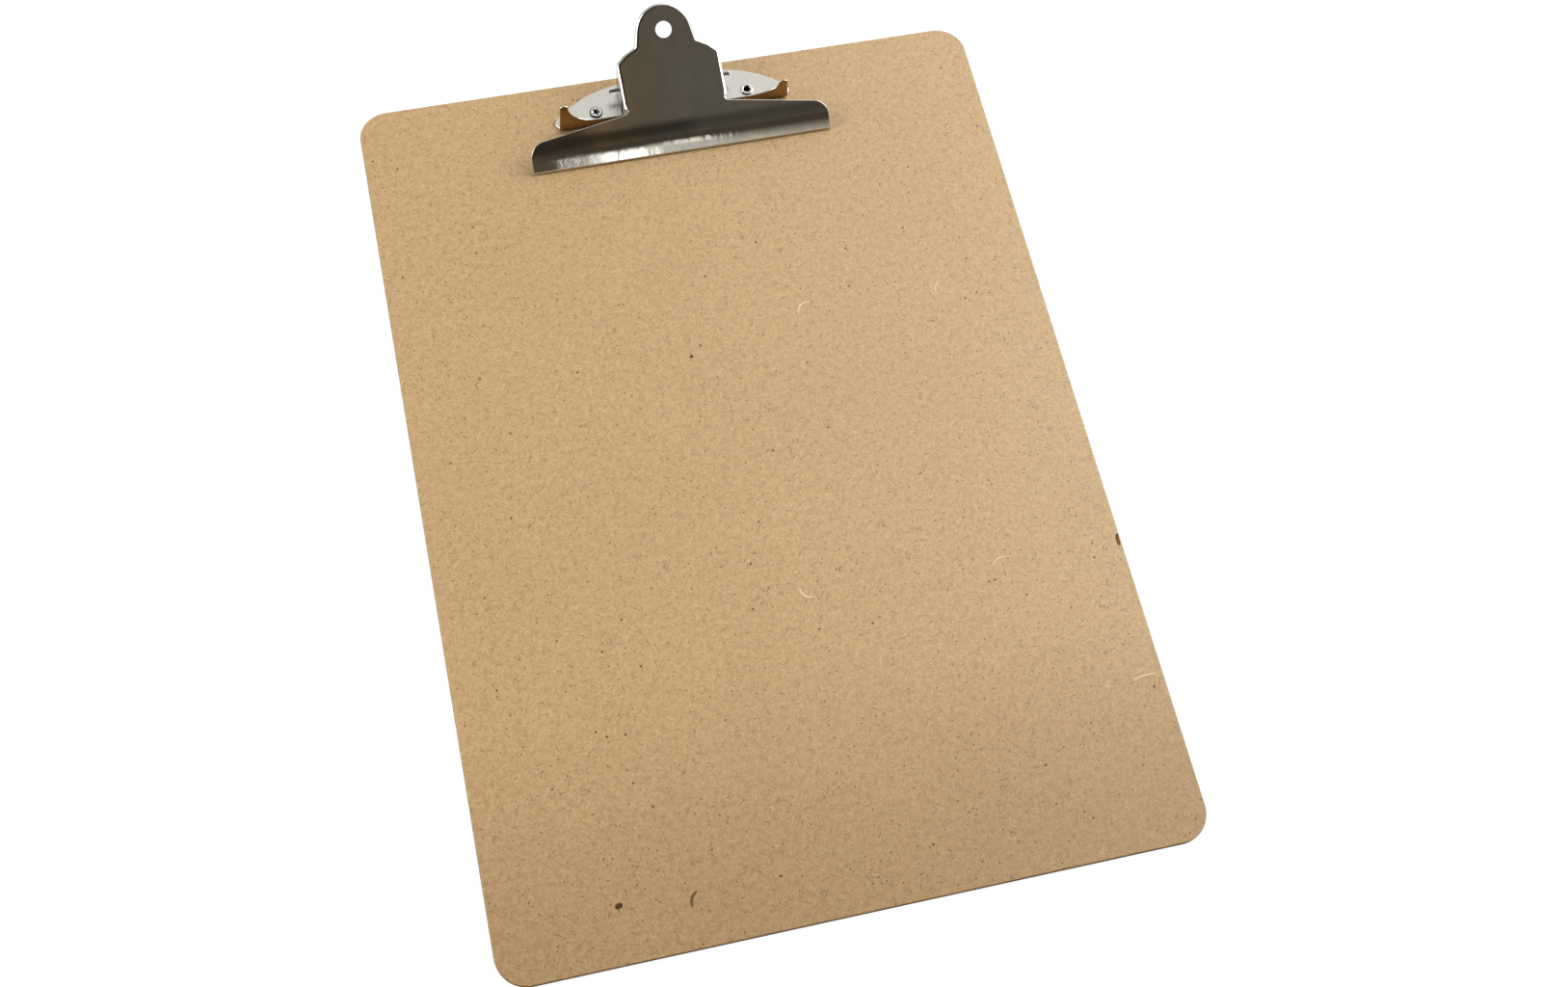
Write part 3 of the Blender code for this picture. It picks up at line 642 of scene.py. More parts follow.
def lever_side():
    foot = fillet_centre()[1]
    ear_start = body_run_at(PIN_Y - LEVER_EAR_FRONT)
    half = LEVER_HALF_WIDTH
    tab_touch = arc((0, TAB_CENTRE_RUN), TAB_RADIUS, TAB_TAPER, TAB_TAPER, 1)[0]
    shoulder_low = (half, TAB_CENTRE_RUN - SHOULDER_START)
    shoulder_mid = (half - SHOULDER_INSET, TAB_CENTRE_RUN - SHOULDER_TURN)
    notch_run = TAB_CENTRE_RUN - TAB_NOTCH
    notch = (tab_touch[0] + (tab_touch[1] - notch_run) * tan(TAB_TAPER), notch_run)
    corner = rounded_corner((half, foot), shoulder_low, shoulder_mid, SHOULDER_CORNER_RADIUS, 8)
    points = straight((half, foot), (half, foot + RIM_FADE), 8)
    points += straight((half, foot + RIM_FADE), (half, ear_start - RIM_DROP), 4)[1:]
    points += straight((half, ear_start), corner[0], 16)
    points += corner[1:]
    points += rounded_corner(shoulder_low, shoulder_mid, notch, SHOULDER_TURN_RADIUS, 6)
    points += rounded_corner(shoulder_mid, notch, tab_touch, TAB_NOTCH_RADIUS, 8)
    points += straight(notch, tab_touch, 2)[1:]
    points += arc((0, TAB_CENTRE_RUN), TAB_RADIUS, TAB_TAPER, pi / 4, 8)[1:]
    return points


def lever_border():
    right = lever_side()
    end = arc((0, TAB_CENTRE_RUN), TAB_RADIUS, pi / 4, pi * 3 / 4, 2 * BODY_COLUMNS)
    left = [(-x, run) for x, run in right[::-1]]
    path = right + end[1:-1] + left
    foot = right[0][1]
    border = []
    for point, normal in zip(path, outward_normals(path)):
        share = min(1.0, max(0.0, (point[1] - foot) / RIM_FADE))
        border.append((Vector(point), normal, share))
    return border, len(right)


def ear_bottom(share):
    radius = LEVER_EAR_RADIUS - EDGE_REACH
    front = PIN_Y - LEVER_EAR_FRONT + EDGE_REACH
    if share <= EAR_FLAT_SHARE:
        return front + (PIN_Y - front) * share / EAR_FLAT_SHARE, PIN_Z - radius
    angle = -pi / 2 + (share - EAR_FLAT_SHARE) / (1 - EAR_FLAT_SHARE) * EAR_SWEEP
    return PIN_Y + radius * cos(angle), PIN_Z + radius * sin(angle)


def ear_share(point):
    first = body_run_at(PIN_Y - LEVER_EAR_FRONT)
    straight_end = TAB_CENTRE_RUN - SHOULDER_START - SHOULDER_CORNER_RADIUS / 2
    if abs(point.x) < LEVER_HALF_WIDTH - TINY:
        return None
    if point.y < first - TINY or point.y > straight_end + TINY:
        return None
    return (point.y - first) / (straight_end - first)


def rim_pair(bm, flat, normal, angle, beyond):
    """A point round the rim's bend, or a little beyond its end, on both faces of the sheet."""
    ends = []
    for depth in (0.0, SHEET):
        radius = RIM_RADIUS - depth
        reach = radius * sin(angle) + beyond * cos(angle)
        drop = RIM_RADIUS - radius * cos(angle) + beyond * sin(angle)
        ends.append(lever_place(*(flat + normal * reach), drop))
    return add_pair(bm, *ends)


def add_lever_rim(bm, border, flat, inner):
    """Turns the sheet down along the border and into an ear on each side. Returns its lower edge."""
    rows = [inner]
    for step in range(1, BEND_STEPS + 2):
        row = []
        for (point, normal, share), start, pair in zip(border, flat, inner):
            along = ear_share(point)
            angle = share * pi / 2 * min(step, BEND_STEPS) / BEND_STEPS
            if share == 0:
                row.append(pair)
            elif step <= BEND_STEPS:
                row.append(rim_pair(bm, start, normal, angle, 0.0))
            elif along is None:
                row.append(rim_pair(bm, start, normal, angle, (RIM_DROP - EDGE_REACH) * share))
            else:
                side = copysign(1, point.x)
                ends = [(point.x - side * depth, *ear_bottom(along)) for depth in (0.0, SHEET)]
                row.append(add_pair(bm, *ends))
        rows.append(row)
    add_sheet_faces(bm, rows)
    return rows[-1]


def add_lever_body(bm, foot):
    """Adds body and tab above the jaw's foot row. Returns the rim's lower edge, right to left."""
    border, side_count = lever_border()
    flat = [point - normal * (RIM_RADIUS + EDGE_REACH * (1 - share)) for point, normal, share in border]
    right = flat[:side_count]
    top = flat[side_count - 1:len(flat) - side_count + 1][::-1]
    low_run = right[0].y
    high_run = right[-1].y
    columns = 2 * BODY_COLUMNS
    rows = [foot]
    for point in right[1:-1]:
        rise = (point.y - low_run) / (high_run - low_run)
        row = []
        for k in range(columns + 1):
            across = 2 * k / columns - 1
            bow = (top[k].y - high_run) * rise
            spread = top[k].x / top[-1].x
            lean = across + (spread - across) * rise
            row.append(sheet_pair(bm, point.x * lean, point.y + bow))
        rows.append(row)
    last = [sheet_pair(bm, point.x, point.y) for point in top]
    inner = [row[-1] for row in rows] + last[::-1] + [row[0] for row in rows[::-1]]
    rows.append(last)
    add_sheet_faces(bm, rows)
    return add_lever_rim(bm, border, flat, inner)


def build_lever_plate(material):
    bm = new_sheet()
    jaw, middle = add_jaw(bm)
    foot_left = middle - BODY_COLUMNS
    foot_right = middle + BODY_COLUMNS
    rim = add_lever_body(bm, [column[-1] for column in jaw[foot_left:foot_right + 1]])
    loop = [column[0] for column in jaw] + jaw[-1][1:]
    loop += [column[-1] for column in jaw[-2:foot_right - 1:-1]] + rim[1:-1]
    loop += [column[-1] for column in jaw[foot_left:0:-1]] + jaw[0][:0:-1]
    round_sheet_edge(bm, loop)
    lever = add_object("lever_stamping", bm)
    tab_axis = (0, -sin(TAB_SLOPE), cos(TAB_SLOPE))
    drill(lever, [lever_place(0, HOLE_CENTRE_RUN)], HOLE_RADIUS, tab_axis, 6 * SHEET)
    drill_for_pin(lever, LEVER_HALF_WIDTH)
    smooth_rounds(lever, 50, keep_flats=True)
    hand_over(lever, material, "lever", "lever_plate")


# ---- pin and spring


def build_hinge_pin(material):
    half = [(PIN_RADIUS * out, PIN_HIGH.x - PIN_RADIUS * back) for out, back in PIN_END]
    profile = [(radius, -along) for radius, along in half] + half[::-1]
    bm = bmesh.new()
    rings = []
    for radius, along in profile:
        if radius == 0:
            rings.append([bm.verts.new((along, PIN_Y, PIN_Z))])
            continue
        circle = arc((PIN_Y, PIN_Z), radius, 0, 2 * pi, ROUND_STEPS // 2)[:-1]
        rings.append([bm.verts.new((along, y, z)) for y, z in circle])
    add_rings(bm, rings)
    pin = add_object("pin_rod", bm)
    smooth_rounds(pin, 40)
    hand_over(pin, material, "base", "hinge_pin")


def leg_tangent(target, side):
    away = Vector((target[0] - PIN_Y, target[1] - PIN_Z))
    return atan2(away.y, away.x) + side * acos(COIL_RADIUS / away.length)


def spring_path():
    reach = WIRE_RADIUS + GAP
    low_end = (CLIP_TOP - WING_REAR_SETBACK - SPRING_FOOT_INSET, PLATE_TOP + reach)
    under = lever_place(0, body_run_at(PIN_Y + SPRING_HEAD_REACH), SHEET + reach)
    high_end = (under.y, under.z)
    start = leg_tangent(low_end, -1)
    finish = leg_tangent(high_end, 1)
    sweep = start - finish + 2 * pi * COIL_TURNS
    while sweep > 2 * pi * COIL_TURNS:
        sweep -= 2 * pi
    steps = round(WIRE_STEPS_PER_TURN * sweep / (2 * pi))
    length = COIL_PITCH * sweep / (2 * pi)
    coil = []
    for k in range(steps + 1):
        angle = start - sweep * k / steps
        y = PIN_Y + COIL_RADIUS * cos(angle)
        z = PIN_Z + COIL_RADIUS * sin(angle)
        coil.append(Vector((-length / 2 + length * k / steps, y, z)))
    first = [Vector(p) for p in straight((-length / 2, *low_end), coil[0], 6)[:-1]]
    last = [Vector(p) for p in straight(coil[-1], (length / 2, *high_end), 6)[1:]]
    return first + coil + last, length


def build_torsion_spring(material):
    """A swept wire whose coil twists between the two bodies as the lever turns."""
    path, length = spring_path()
    bm = bmesh.new()
    side = Vector((1, 0, 0))
    rings = [[bm.verts.new(path[0])]]
    for k, point in enumerate(path):
        along = (path[min(k + 1, len(path) - 1)] - path[max(k - 1, 0)]).normalized()
        side = (side - along * side.dot(along)).normalized()
        up = along.cross(side)
        ring = []
        for a, b in arc((0, 0), WIRE_RADIUS, 0, 2 * pi, WIRE_SIDES)[:-1]:
            ring.append(bm.verts.new(point + side * a + up * b))
        rings.append(ring)
    rings.append([bm.verts.new(path[-1])])
    add_rings(bm, rings)
    spring = add_object("spring_wire", bm)
    smooth_rounds(spring, 50)
    hand_over(spring, material, None, "torsion_spring")
    edge = length / 2 - WIRE_RADIUS
    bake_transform(spring, "base", "lever", (-edge, PIN_Y, PIN_Z), (edge, PIN_Y, PIN_Z))


# ---- material helpers


def new_material(name):
    """A material, its node tree and the place on the object in it."""
    material = bpy.data.materials.new(name)
    material.use_nodes = True
    tree = material.node_tree
    return material, tree, source(tree, "TexCoord", "Object")


def is_socket(value):
    return isinstance(value, bpy.types.NodeSocket)


def feed(socket, value):
    """Gives an input its value, or the output that feeds it. Colours are opaque."""
    if is_socket(value):
        socket.id_data.links.new(value, socket)
    elif socket.type == "RGBA":
        socket.default_value = (*value, 1.0)
    else:
        socket.default_value = value


def source(tree, kind, output, **settings):
    """Output of a new node that nothing feeds."""
    made = tree.nodes.new("ShaderNode" + kind)
    for name, value in settings.items():
        setattr(made, name, value)
    return made.outputs[output]


def fed_node(kind, values, **settings):
    """A new node in the tree of the outputs among the values that are to feed it."""
    tree = next(value for value in values if is_socket(value)).id_data
    made = tree.nodes.new("ShaderNode" + kind)
    for name, value in settings.items():
        setattr(made, name, value)
    return made


def node(kind, inputs, **settings):
    """Outputs of a new node. Its inputs are values or the outputs that feed them."""
    made = fed_node(kind, inputs.values(), **settings)
    for name, value in inputs.items():
        feed(made.inputs[name], value)
    return made.outputs


def noise(vector, scale, detail=2.0, roughness=0.5, distortion=0.0):
    values = {"Vector": vector, "Scale": scale, "Detail": detail, "Roughness": roughness}
    return node("TexNoise", {**values, "Distortion": distortion})["Fac"]


def ramp(value, low, high, out_low=0.0, out_high=1.0, kind="LINEAR"):
    values = {"Value": value, "From Min": low, "From Max": high, "To Min": out_low, "To Max": out_high}
    return node("MapRange", values, clamp=True, interpolation_type=kind)["Result"]


def soft(*change):
    """A ramp with soft ends."""
    return ramp(*change, kind="SMOOTHSTEP")


def gates(value, *changes):
    """Product of several ramps of one value."""
    share = ramp(value, *changes[0])
    for change in changes[1:]:
        share = times(share, ramp(value, *change))
    return share


def maths(operation, a, b=0.0):
    return node("Math", {0: a, 1: b}, operation=operation)["Value"]


def times(a, b):
    return maths("MULTIPLY", a, b)


def plus(a, b):
    return maths("ADD", a, b)


def split(vector):
    """The three parts of a vector."""
    return tuple(node("SeparateXYZ", {"Vector": vector}))


def facing(tree):
    """The three parts of the direction in which the surface faces."""
    return split(source(tree, "NewGeometry", "Normal"))


def fed(tree, name):
    """What already feeds an input of a material's shader."""
    return tree.nodes["Principled BSDF"].inputs[name].links[0].from_socket


def mix(factor, a, b, blend="MIX"):
    made = fed_node("Mix", (factor, a, b), data_type="RGBA", blend_type=blend)
    for name, kind, value in (("Factor", "VALUE", factor), ("A", "RGBA", a), ("B", "RGBA", b)):
        feed(next(s for s in made.inputs if s.name == name and s.type == kind), value)
    return next(s for s in made.outputs if s.type == "RGBA")


def mapped(vector, scale, turn=0.0, shift=(0, 0, 0)):
    values = {"Vector": vector, "Location": shift, "Rotation": (0, 0, turn), "Scale": scale}
    return node("Mapping", values)["Vector"]


def bump(height, strength, distance, normal=None):
    values = {"Height": height, "Strength": strength, "Distance": distance}
    if normal:
        values["Normal"] = normal
    return node("Bump", values)["Normal"]


def connect(tree, **values):
    shader = tree.nodes["Principled BSDF"]
    for name, value in values.items():
        feed(shader.inputs[name.replace("_", " ")], value)


# ---- materials


def turned(vector, turn, shift):
    """The board's plane turned by an angle and moved, to lay a pattern in another direction."""
    return mapped(vector, (1.0, 1.0, 1.0), turn, (shift, shift * 0.7, 0.0))


def spots(vector, scale, fade, chosen):
    """Mask of a spot in the middle of some of a plane's cells. Fade and chosen are ranges."""
    values = {"Vector": vector, "Scale": scale, "Randomness": 1.0}
    cells = node("TexVoronoi", values, voronoi_dimensions="2D")
    body = soft(cells["Distance"], *fade, 1.0, 0.0)
    lot = node("SeparateColor", {"Color": cells["Color"]})["Red"]
    return times(body, ramp(lot, *chosen))


def fibre_layer(vector, turn, length, width, keep, shift):
    """Mask of slightly wavy fibres lying roughly in one direction. Sizes in metres."""
    across = turned(vector, turn, shift)
    sway = noise(across, 0.35 / length, 2.0)
    stretched = mapped(across, (1.0 / length, 1.0 / width, 1.0))
    offset = node("CombineXYZ", {"X": 0.0, "Y": times(sway, 5.0), "Z": 0.0})["Vector"]
    moved = node("VectorMath", {0: stretched, 1: offset}, operation="ADD")["Vector"]
    return spots(moved, 1.0, (0.12, 0.42), (1.0 - keep, 1.0 - keep * 0.3))


def speck_layer(vector, size, keep, shift):
    """Mask of small round specks."""
    place = turned(vector, 0.4, shift)
    return spots(place, 1.0 / size, (0.10, 0.34), (1.0 - keep, 1.0 - keep * 0.5))


def stroke(place, centre, turn, half_length, half_width, bend):
    """Mask of one short mark seen from above, bent like a comma."""
    local = node("VectorMath", {0: place, 1: (*centre, 0.0)}, operation="SUBTRACT")["Vector"]
    local = mapped(local, (1.0, 1.0, 1.0), -turn)
    x, y, _ = split(local)
    along = times(x, 1.0 / half_length)
    square = times(along, along)
    across = plus(y, times(square, bend))
    across = times(across, 1.0 / half_width)
    reach = plus(times(square, square), times(across, across))
    return soft(reach, 0.35, 1.0, 1.0, 0.0)


def hardboard():
    """Smooth face of hardboard: mottled tan, fine dark fibres, a few pale curls, darker raw edges."""
    material, tree, place = new_material("hardboard_smooth")
    patterns = {name: noise(place, *values) for name, values in PATTERNS.items()}
    colour = mix(ramp(patterns["cloud"], 0.35, 0.65), HARDBOARD_DARK, HARDBOARD_LIGHT)
    for pattern, change, tint in BOARD_TONES:
        colour = mix(ramp(patterns[pattern], *change), colour, tint)
    for turn, length, width, keep, depth in FIBRES:
        mask = fibre_layer(place, turn, length, width, keep, turn * 5.3)
        colour = mix(times(mask, depth), colour, FIBRE_DARK)
    for turn, length, width, keep, depth in PALE_FIBRES:
        mask = fibre_layer(place, turn, length, width, keep, turn + 15.0)
        colour = mix(times(mask, depth), colour, FIBRE_PALE)
    marked = 0.0
    for size, keep, depth in SPECKS:
        specks = times(speck_layer(place, size, keep, 900.0 * size), depth)
        colour = mix(specks, colour, SPECK_DARK)
        marked = plus(marked, specks)
    for centre, turn, half_length, half_width, bend, tint in MARKS:
        mask = stroke(place, centre, turn, half_length, half_width, bend)
        colour = mix(times(mask, MARK_DEPTH), colour, tint)
        marked = plus(marked, mask)
    # Painted shade: the board's face is darkened towards its lower end.
    lower_end_shade = soft(split(place)[1], *LOWER_END_SHADE_RAMP)
    colour = mix(lower_end_shade, colour, mix(1.0, colour, LOWER_END_SHADE, "MULTIPLY"))
    upright = maths("ABSOLUTE", facing(tree)[2])
    edge = soft(upright, 0.25, 0.85, 1.0, 0.0)
    layers = noise(mapped(place, (60.0, 60.0, 2600.0)), 1.0, 3.0)
    colour = mix(edge, colour, mix(layers, EDGE_DARK, EDGE_LIGHT))
    rough = ramp(patterns["mottle"], 0.3, 0.7, 0.42, 0.54)
    rough = plus(rough, times(edge, 0.35))
    gloss = times(ramp(edge, 0.0, 1.0, 0.9, 0.2), ramp(marked, 0.0, 1.0, 1.0, 0.05))
    height = plus(times(patterns["grain"], 0.5), times(patterns["mottle"], 0.6))
    connect(tree, Base_Color=colour, Roughness=rough, Normal=bump(height, 0.30, 0.00010))
    connect(tree, Specular_IOR_Level=gloss)
    return material


def nickel(name, tint, smooth, dull, wave, stain_and_painted_band):
    """Nickel plate: slightly wavy, with soft smears and hair scratches."""
    material, tree, place = new_material(name)
    smear = noise(place, 90.0, 4.0, 0.6, 0.6)
    broad = noise(mapped(place, (40.0, 24.0, 24.0)), 1.0, 1.0, 0.3)
    hair = noise(mapped(turned(place, 0.5, 0.0), (60.0, 2600.0, 2600.0)), 1.0, 2.0, 0.7)
    deeper = tuple(c * stain_and_painted_band for c in tint)
    colour = mix(ramp(smear, 0.35, 0.65), tint, deeper)
    rough = ramp(smear, 0.44, 0.74, smooth, dull)
    uneven = bump(broad, 1.0, wave)
    uneven = bump(hair, 1.0, HAIR_HEIGHT, uneven)
    connect(tree, Base_Color=colour, Metallic=1.0, Roughness=rough, Normal=uneven)
    return material, tree, place


def lever_nickel():
    """The lever's nickel: smudged by handling at the shoulder, rippled and grazed along the lip, with a
    painted dark reflection band behind the lip, dull cut edges darkened partly as painted shade, and a
    painted grey shade on the rim.
    """
    material, tree, place = nickel("nickel_lever", (0.66, 0.64, 0.60), 0.05, 0.09, 0.00010, 0.88)
    colour = fed(tree, "Base Color")
    rough = fed(tree, "Roughness")
    uneven = fed(tree, "Normal")
    x, y, _ = split(place)
    depth = plus(y, -LIP_Y)
    lip = soft(depth, *LIP_FADE)
    ripple = noise(mapped(place, (150.0, 60.0, 60.0)), 1.0, 2.0, 0.5)
    uneven = bump(times(ripple, lip), 1.0, RIPPLE_HEIGHT, uneven)
    pits = ramp(noise(place, 900.0, 3.0, 0.7), 0.42, 0.66)
    graze = times(times(lip, gates(x, *GRAZE_SIDES)), pits)
    uneven = bump(graze, 1.0, GRAZE_HEIGHT, uneven)
    patch = noise(mapped(place, (1.0, 1.0, 1.0), 0.0, SMUDGE_SHIFT), 55.0, 2.0)
    shoulder = times(ramp(x, *SHOULDER_SIDE), ramp(y, *SHOULDER_FRONT))
    smudge = times(shoulder, ramp(patch, 0.44, 0.60))
    smudge = times(smudge, ramp(noise(place, 420.0, 3.0, 0.7), 0.45, 0.70))
    rough = plus(rough, plus(times(smudge, 0.30), times(graze, 0.04)))
    # Painted reflection: a dark band a little behind the lip stands in for dark surroundings mirrored in the
    # bend.
    stain_and_painted_band = times(soft(depth, *PAINTED_BAND_START), ramp(depth, *PAINTED_BAND_END))
    stain_and_painted_band = times(stain_and_painted_band, gates(x, *PAINTED_BAND_SIDES))
    colour = mix(stain_and_painted_band, colour, PAINTED_BAND_DARK)
    scratch = stroke(place, *LIP_SCRATCH)
    colour = mix(times(scratch, 0.7), colour, SCRATCH_GREY)
    up = facing(tree)[2]
    cut = source(tree, "Attribute", "Fac", attribute_name=CUT_EDGE)
    # The cut edges' raw steel is duller and darker, but only where an edge faces sideways or down, so this
    # darkening is partly painted shade.
    cut = times(cut, ramp(up, 0.10, 0.45, 1.0, 0.0))
    colour = mix(cut, colour, CUT_STEEL_AND_SHADE, "MULTIPLY")
    rough = plus(rough, times(cut, 0.25))
    # Painted shade: behind RIM_FRONT, the rim's turned-down sides and the lever's underside are greyed where
    # they face sideways or down, so the outline stands out against the white floor.
    rim = times(ramp(up, 0.05, 0.55, 0.65, 0.0), ramp(y, *RIM_FRONT))
    colour = mix(rim, colour, RIM_PAINTED_SHADE)
    connect(tree, Base_Color=colour, Roughness=rough, Normal=uneven)
    return material


def base_nickel():
    """The base plate's nickel, duller on the flat, with painted light brighter to the left on the flat, and
    a painted brown reflection with painted shade at its foot on the front of the flange.
    """
    material, tree, place = nickel("nickel_base", (0.71, 0.695, 0.650), 0.06, 0.10, 0.00004, 0.97)
    colour = fed(tree, "Base Color")
    rough = fed(tree, "Roughness")
    x, _, z = split(place)
    _, forward, up = facing(tree)
    flat = soft(up, 0.5, 0.95)
    # Painted light: the flat of the plate is brighter on the left and darker on the right.
    painted_light = mix(ramp(x, -0.05, 0.05), PAINTED_LIGHT_LEFT, PAINTED_LIGHT_RIGHT)
    colour = mix(flat, colour, mix(1.0, colour, painted_light, "MULTIPLY"))
    # Painted reflection: the front of the flange is tinted brown like the board it faces, deepening the
    # reflection the render makes itself.
    front = soft(forward, -0.85, -0.45, 1.0, 0.0)
    # Painted shade: the flange darkens further towards its foot at the board.
    foot_shade = soft(plus(z, -PLATE_BOTTOM), *FOOT_SHADE_END)
    colour = mix(front, colour, mix(foot_shade, FLANGE_FOOT_SHADE, FLANGE_PAINTED_REFLECTION), "MULTIPLY")
    connect(tree, Base_Color=colour, Roughness=plus(rough, times(flat, 0.20)))
    return material


def rivet_nickel(name, groove):
    """The rivets' nickel, with painted shade inside the bore and, by a share, in the groove round the ring.
    """
    material, tree, place = nickel(name, (0.66, 0.65, 0.61), 0.10, 0.20, 0.00003, 0.90)
    colour = fed(tree, "Base Color")
    x, y, z = split(place)
    dx = plus(maths("ABSOLUTE", x), -RIVET_X)
    dy = plus(y, -RIVET_Y)
    away = plus(times(dx, dx), times(dy, dy))
    seat = RIVET_HIGH.z - RIVET_RING_HEIGHT
    deep = soft(z, seat, RIVET_HIGH.z - 0.0001, 1.0, 0.0)
    inside = ramp(away, BORE_EDGE[0] ** 2, BORE_EDGE[1] ** 2, 1.0, 0.0)
    front = ramp(z, BOARD_TOP, PLATE_TOP, 0.0, groove)
    outside = ramp(away, GROOVE_EDGE[0] ** 2, GROOVE_EDGE[1] ** 2)
    # Painted shade: black inside the bore and, by the given share, round the ring.
    painted_shade = plus(times(deep, inside), times(front, outside))
    connect(tree, Base_Color=mix(painted_shade, colour, RIVET_PAINTED_SHADE))
    return material


def steel(name, tint, low, high):
    """Drawn steel wire or rod with fine marks along and across."""
    material, tree, place = new_material(name)
    marks = noise(mapped(place, (400.0, 3000.0, 3000.0)), 1.0, 3.0, 0.6)
    tarnish = noise(place, 420.0, 3.0, 0.6)
    darker = tuple(c * 0.72 for c in tint)
    colour = mix(ramp(tarnish, 0.4, 0.7), tint, darker)
    rough = ramp(marks, 0.3, 0.7, low, high)
    connect(tree, Base_Color=colour, Metallic=1.0, Roughness=rough, Normal=bump(marks, 0.6, 0.00002))
    return material


def floor_material():
    """Evenly lit translucent white sheet, as on a light table, with a barely visible tooth."""
    material, tree, place = new_material("lit_white_sheet")
    tooth = noise(place, 300.0, 3.0)
    colour = mix(tooth, FLOOR_DARK, FLOOR_LIGHT)
    connect(tree, Base_Color=colour, Roughness=0.9, Specular_IOR_Level=0.1)
    connect(tree, Normal=bump(tooth, 0.1, 0.0001))
    connect(tree, Emission_Color=(1.0, 1.0, 1.0), Emission_Strength=FLOOR_GLOW)
    return material


HARDBOARD_LIGHT = (0.468, 0.301, 0.124)
HARDBOARD_DARK = (0.441, 0.278, 0.111)
HARDBOARD_PALE = (0.550, 0.372, 0.172)
HARDBOARD_BROWN = (0.265, 0.150, 0.052)
# Painted shade laid over the board's lower end
LOWER_END_SHADE = (0.72, 0.68, 0.60)
FIBRE_DARK = (0.140, 0.066, 0.020)
# Painted brown reflection on the front of the flange
FLANGE_PAINTED_REFLECTION = (0.55, 0.37, 0.20)
# Raw steel of the cut edges, partly painted shade
CUT_STEEL_AND_SHADE = (0.30, 0.26, 0.21)
# Painted shade on the lever's rim and underside
RIM_PAINTED_SHADE = (0.12, 0.115, 0.105)
SPECK_DARK = (0.095, 0.036, 0.006)
FIBRE_PALE = (0.640, 0.500, 0.310)
EDGE_DARK = (0.050, 0.028, 0.013)
EDGE_LIGHT = (0.115, 0.068, 0.032)

# Dark fibres: direction, length, width, share of cells kept, depth of tone
FIBRES = (
    (0.15, 0.0026, 0.00042, 0.16, 0.26),
    (0.95, 0.0024, 0.00042, 0.16, 0.26),
    (1.75, 0.0028, 0.00042, 0.15, 0.26),
    (2.50, 0.0024, 0.00042, 0.16, 0.26),
    (0.55, 0.0050, 0.00055, 0.022, 0.80),
    (1.35, 0.0046, 0.00055, 0.022, 0.80),
    (2.10, 0.0054, 0.00060, 0.022, 0.80),
    (2.95, 0.0048, 0.00055, 0.022, 0.80),
)

# Pale fibres, as the dark ones
PALE_FIBRES = ((0.5, 0.0065, 0.0006, 0.030, 0.42), (2.1, 0.0065, 0.0006, 0.030, 0.42))

# Noise patterns of the board: scale, detail, roughness
PATTERNS = {
    "cloud": (11.0, 4.0, 0.6),
    "mottle": (330.0, 3.0, 0.7),
    "grain": (900.0, 3.0, 0.75),
    "dust": (1900.0, 2.0, 0.7),
}

# Tones laid over the board: pattern, change as for ramp, colour
BOARD_TONES = (
    ("mottle", (0.42, 0.70, 0.0, 0.48), HARDBOARD_PALE),
    ("mottle", (0.30, 0.52, 0.42, 0.0), HARDBOARD_BROWN),
    ("grain", (0.30, 0.56, 0.78, 0.0), HARDBOARD_BROWN),
    ("dust", (0.50, 0.72, 0.0, 0.52), HARDBOARD_PALE),
)

SPECKS = ((0.0018, 0.045, 0.70), (0.0026, 0.005, 0.90))   # size, share of cells kept, depth of tone
MARK_DEPTH = 0.92
# Where the painted shade over the board's lower end starts and ends
LOWER_END_SHADE_RAMP = (-0.220, -0.090, 0.80, 0.0)   # change for ramp, along the board

# Single marks on the face: centre, direction, half length, half width, bend, colour
MARKS = (
    ((-0.1025, -0.1952), 0.3, 0.0019, 0.0014, 0.0, (0.050, 0.022, 0.008)),
    ((-0.0716, -0.1984), 1.1, 0.0042, 0.0008, 0.0018, (0.150, 0.085, 0.036)),
    ((-0.0196, 0.0550), 0.0, 0.0010, 0.0009, 0.0, (0.060, 0.028, 0.010)),
    ((0.1560, -0.0770), 1.5, 0.0034, 0.0011, 0.0004, (0.120, 0.055, 0.018)),
    ((0.1480, -0.1432), 0.1, 0.0065, 0.0004, 0.0004, (0.70, 0.58, 0.38)),
    ((0.0383, 0.0725), 0.7, 0.0050, 0.0005, 0.0026, (0.68, 0.54, 0.34)),
    ((0.0060, -0.0745), 2.3, 0.0044, 0.0005, 0.0022, (0.68, 0.54, 0.34)),
    ((0.1060, 0.0700), 1.2, 0.0040, 0.0004, 0.0018, (0.64, 0.50, 0.30)),
    ((0.0980, -0.0750), 0.4, 0.0046, 0.0004, 0.0020, (0.64, 0.50, 0.30)),
)

HAIR_HEIGHT = 0.000003    # of the hair scratches in all the nickel

# Wear and painted dark reflection band of the lever plate, as changes for ramp. The lip's and the painted
# band's are in distance behind the lip.
RIPPLE_HEIGHT = 0.00004
GRAZE_HEIGHT = 0.00001
LIP_FADE = (0.003, 0.008, 1.0, 0.0)
GRAZE_SIDES = ((-0.066, -0.058), (-0.048, -0.036, 1.0, 0.0))
SMUDGE_SHIFT = (-0.0150, 0.0, 0.0)
SHOULDER_SIDE = (0.000, 0.012)
SHOULDER_FRONT = (0.203, 0.210)
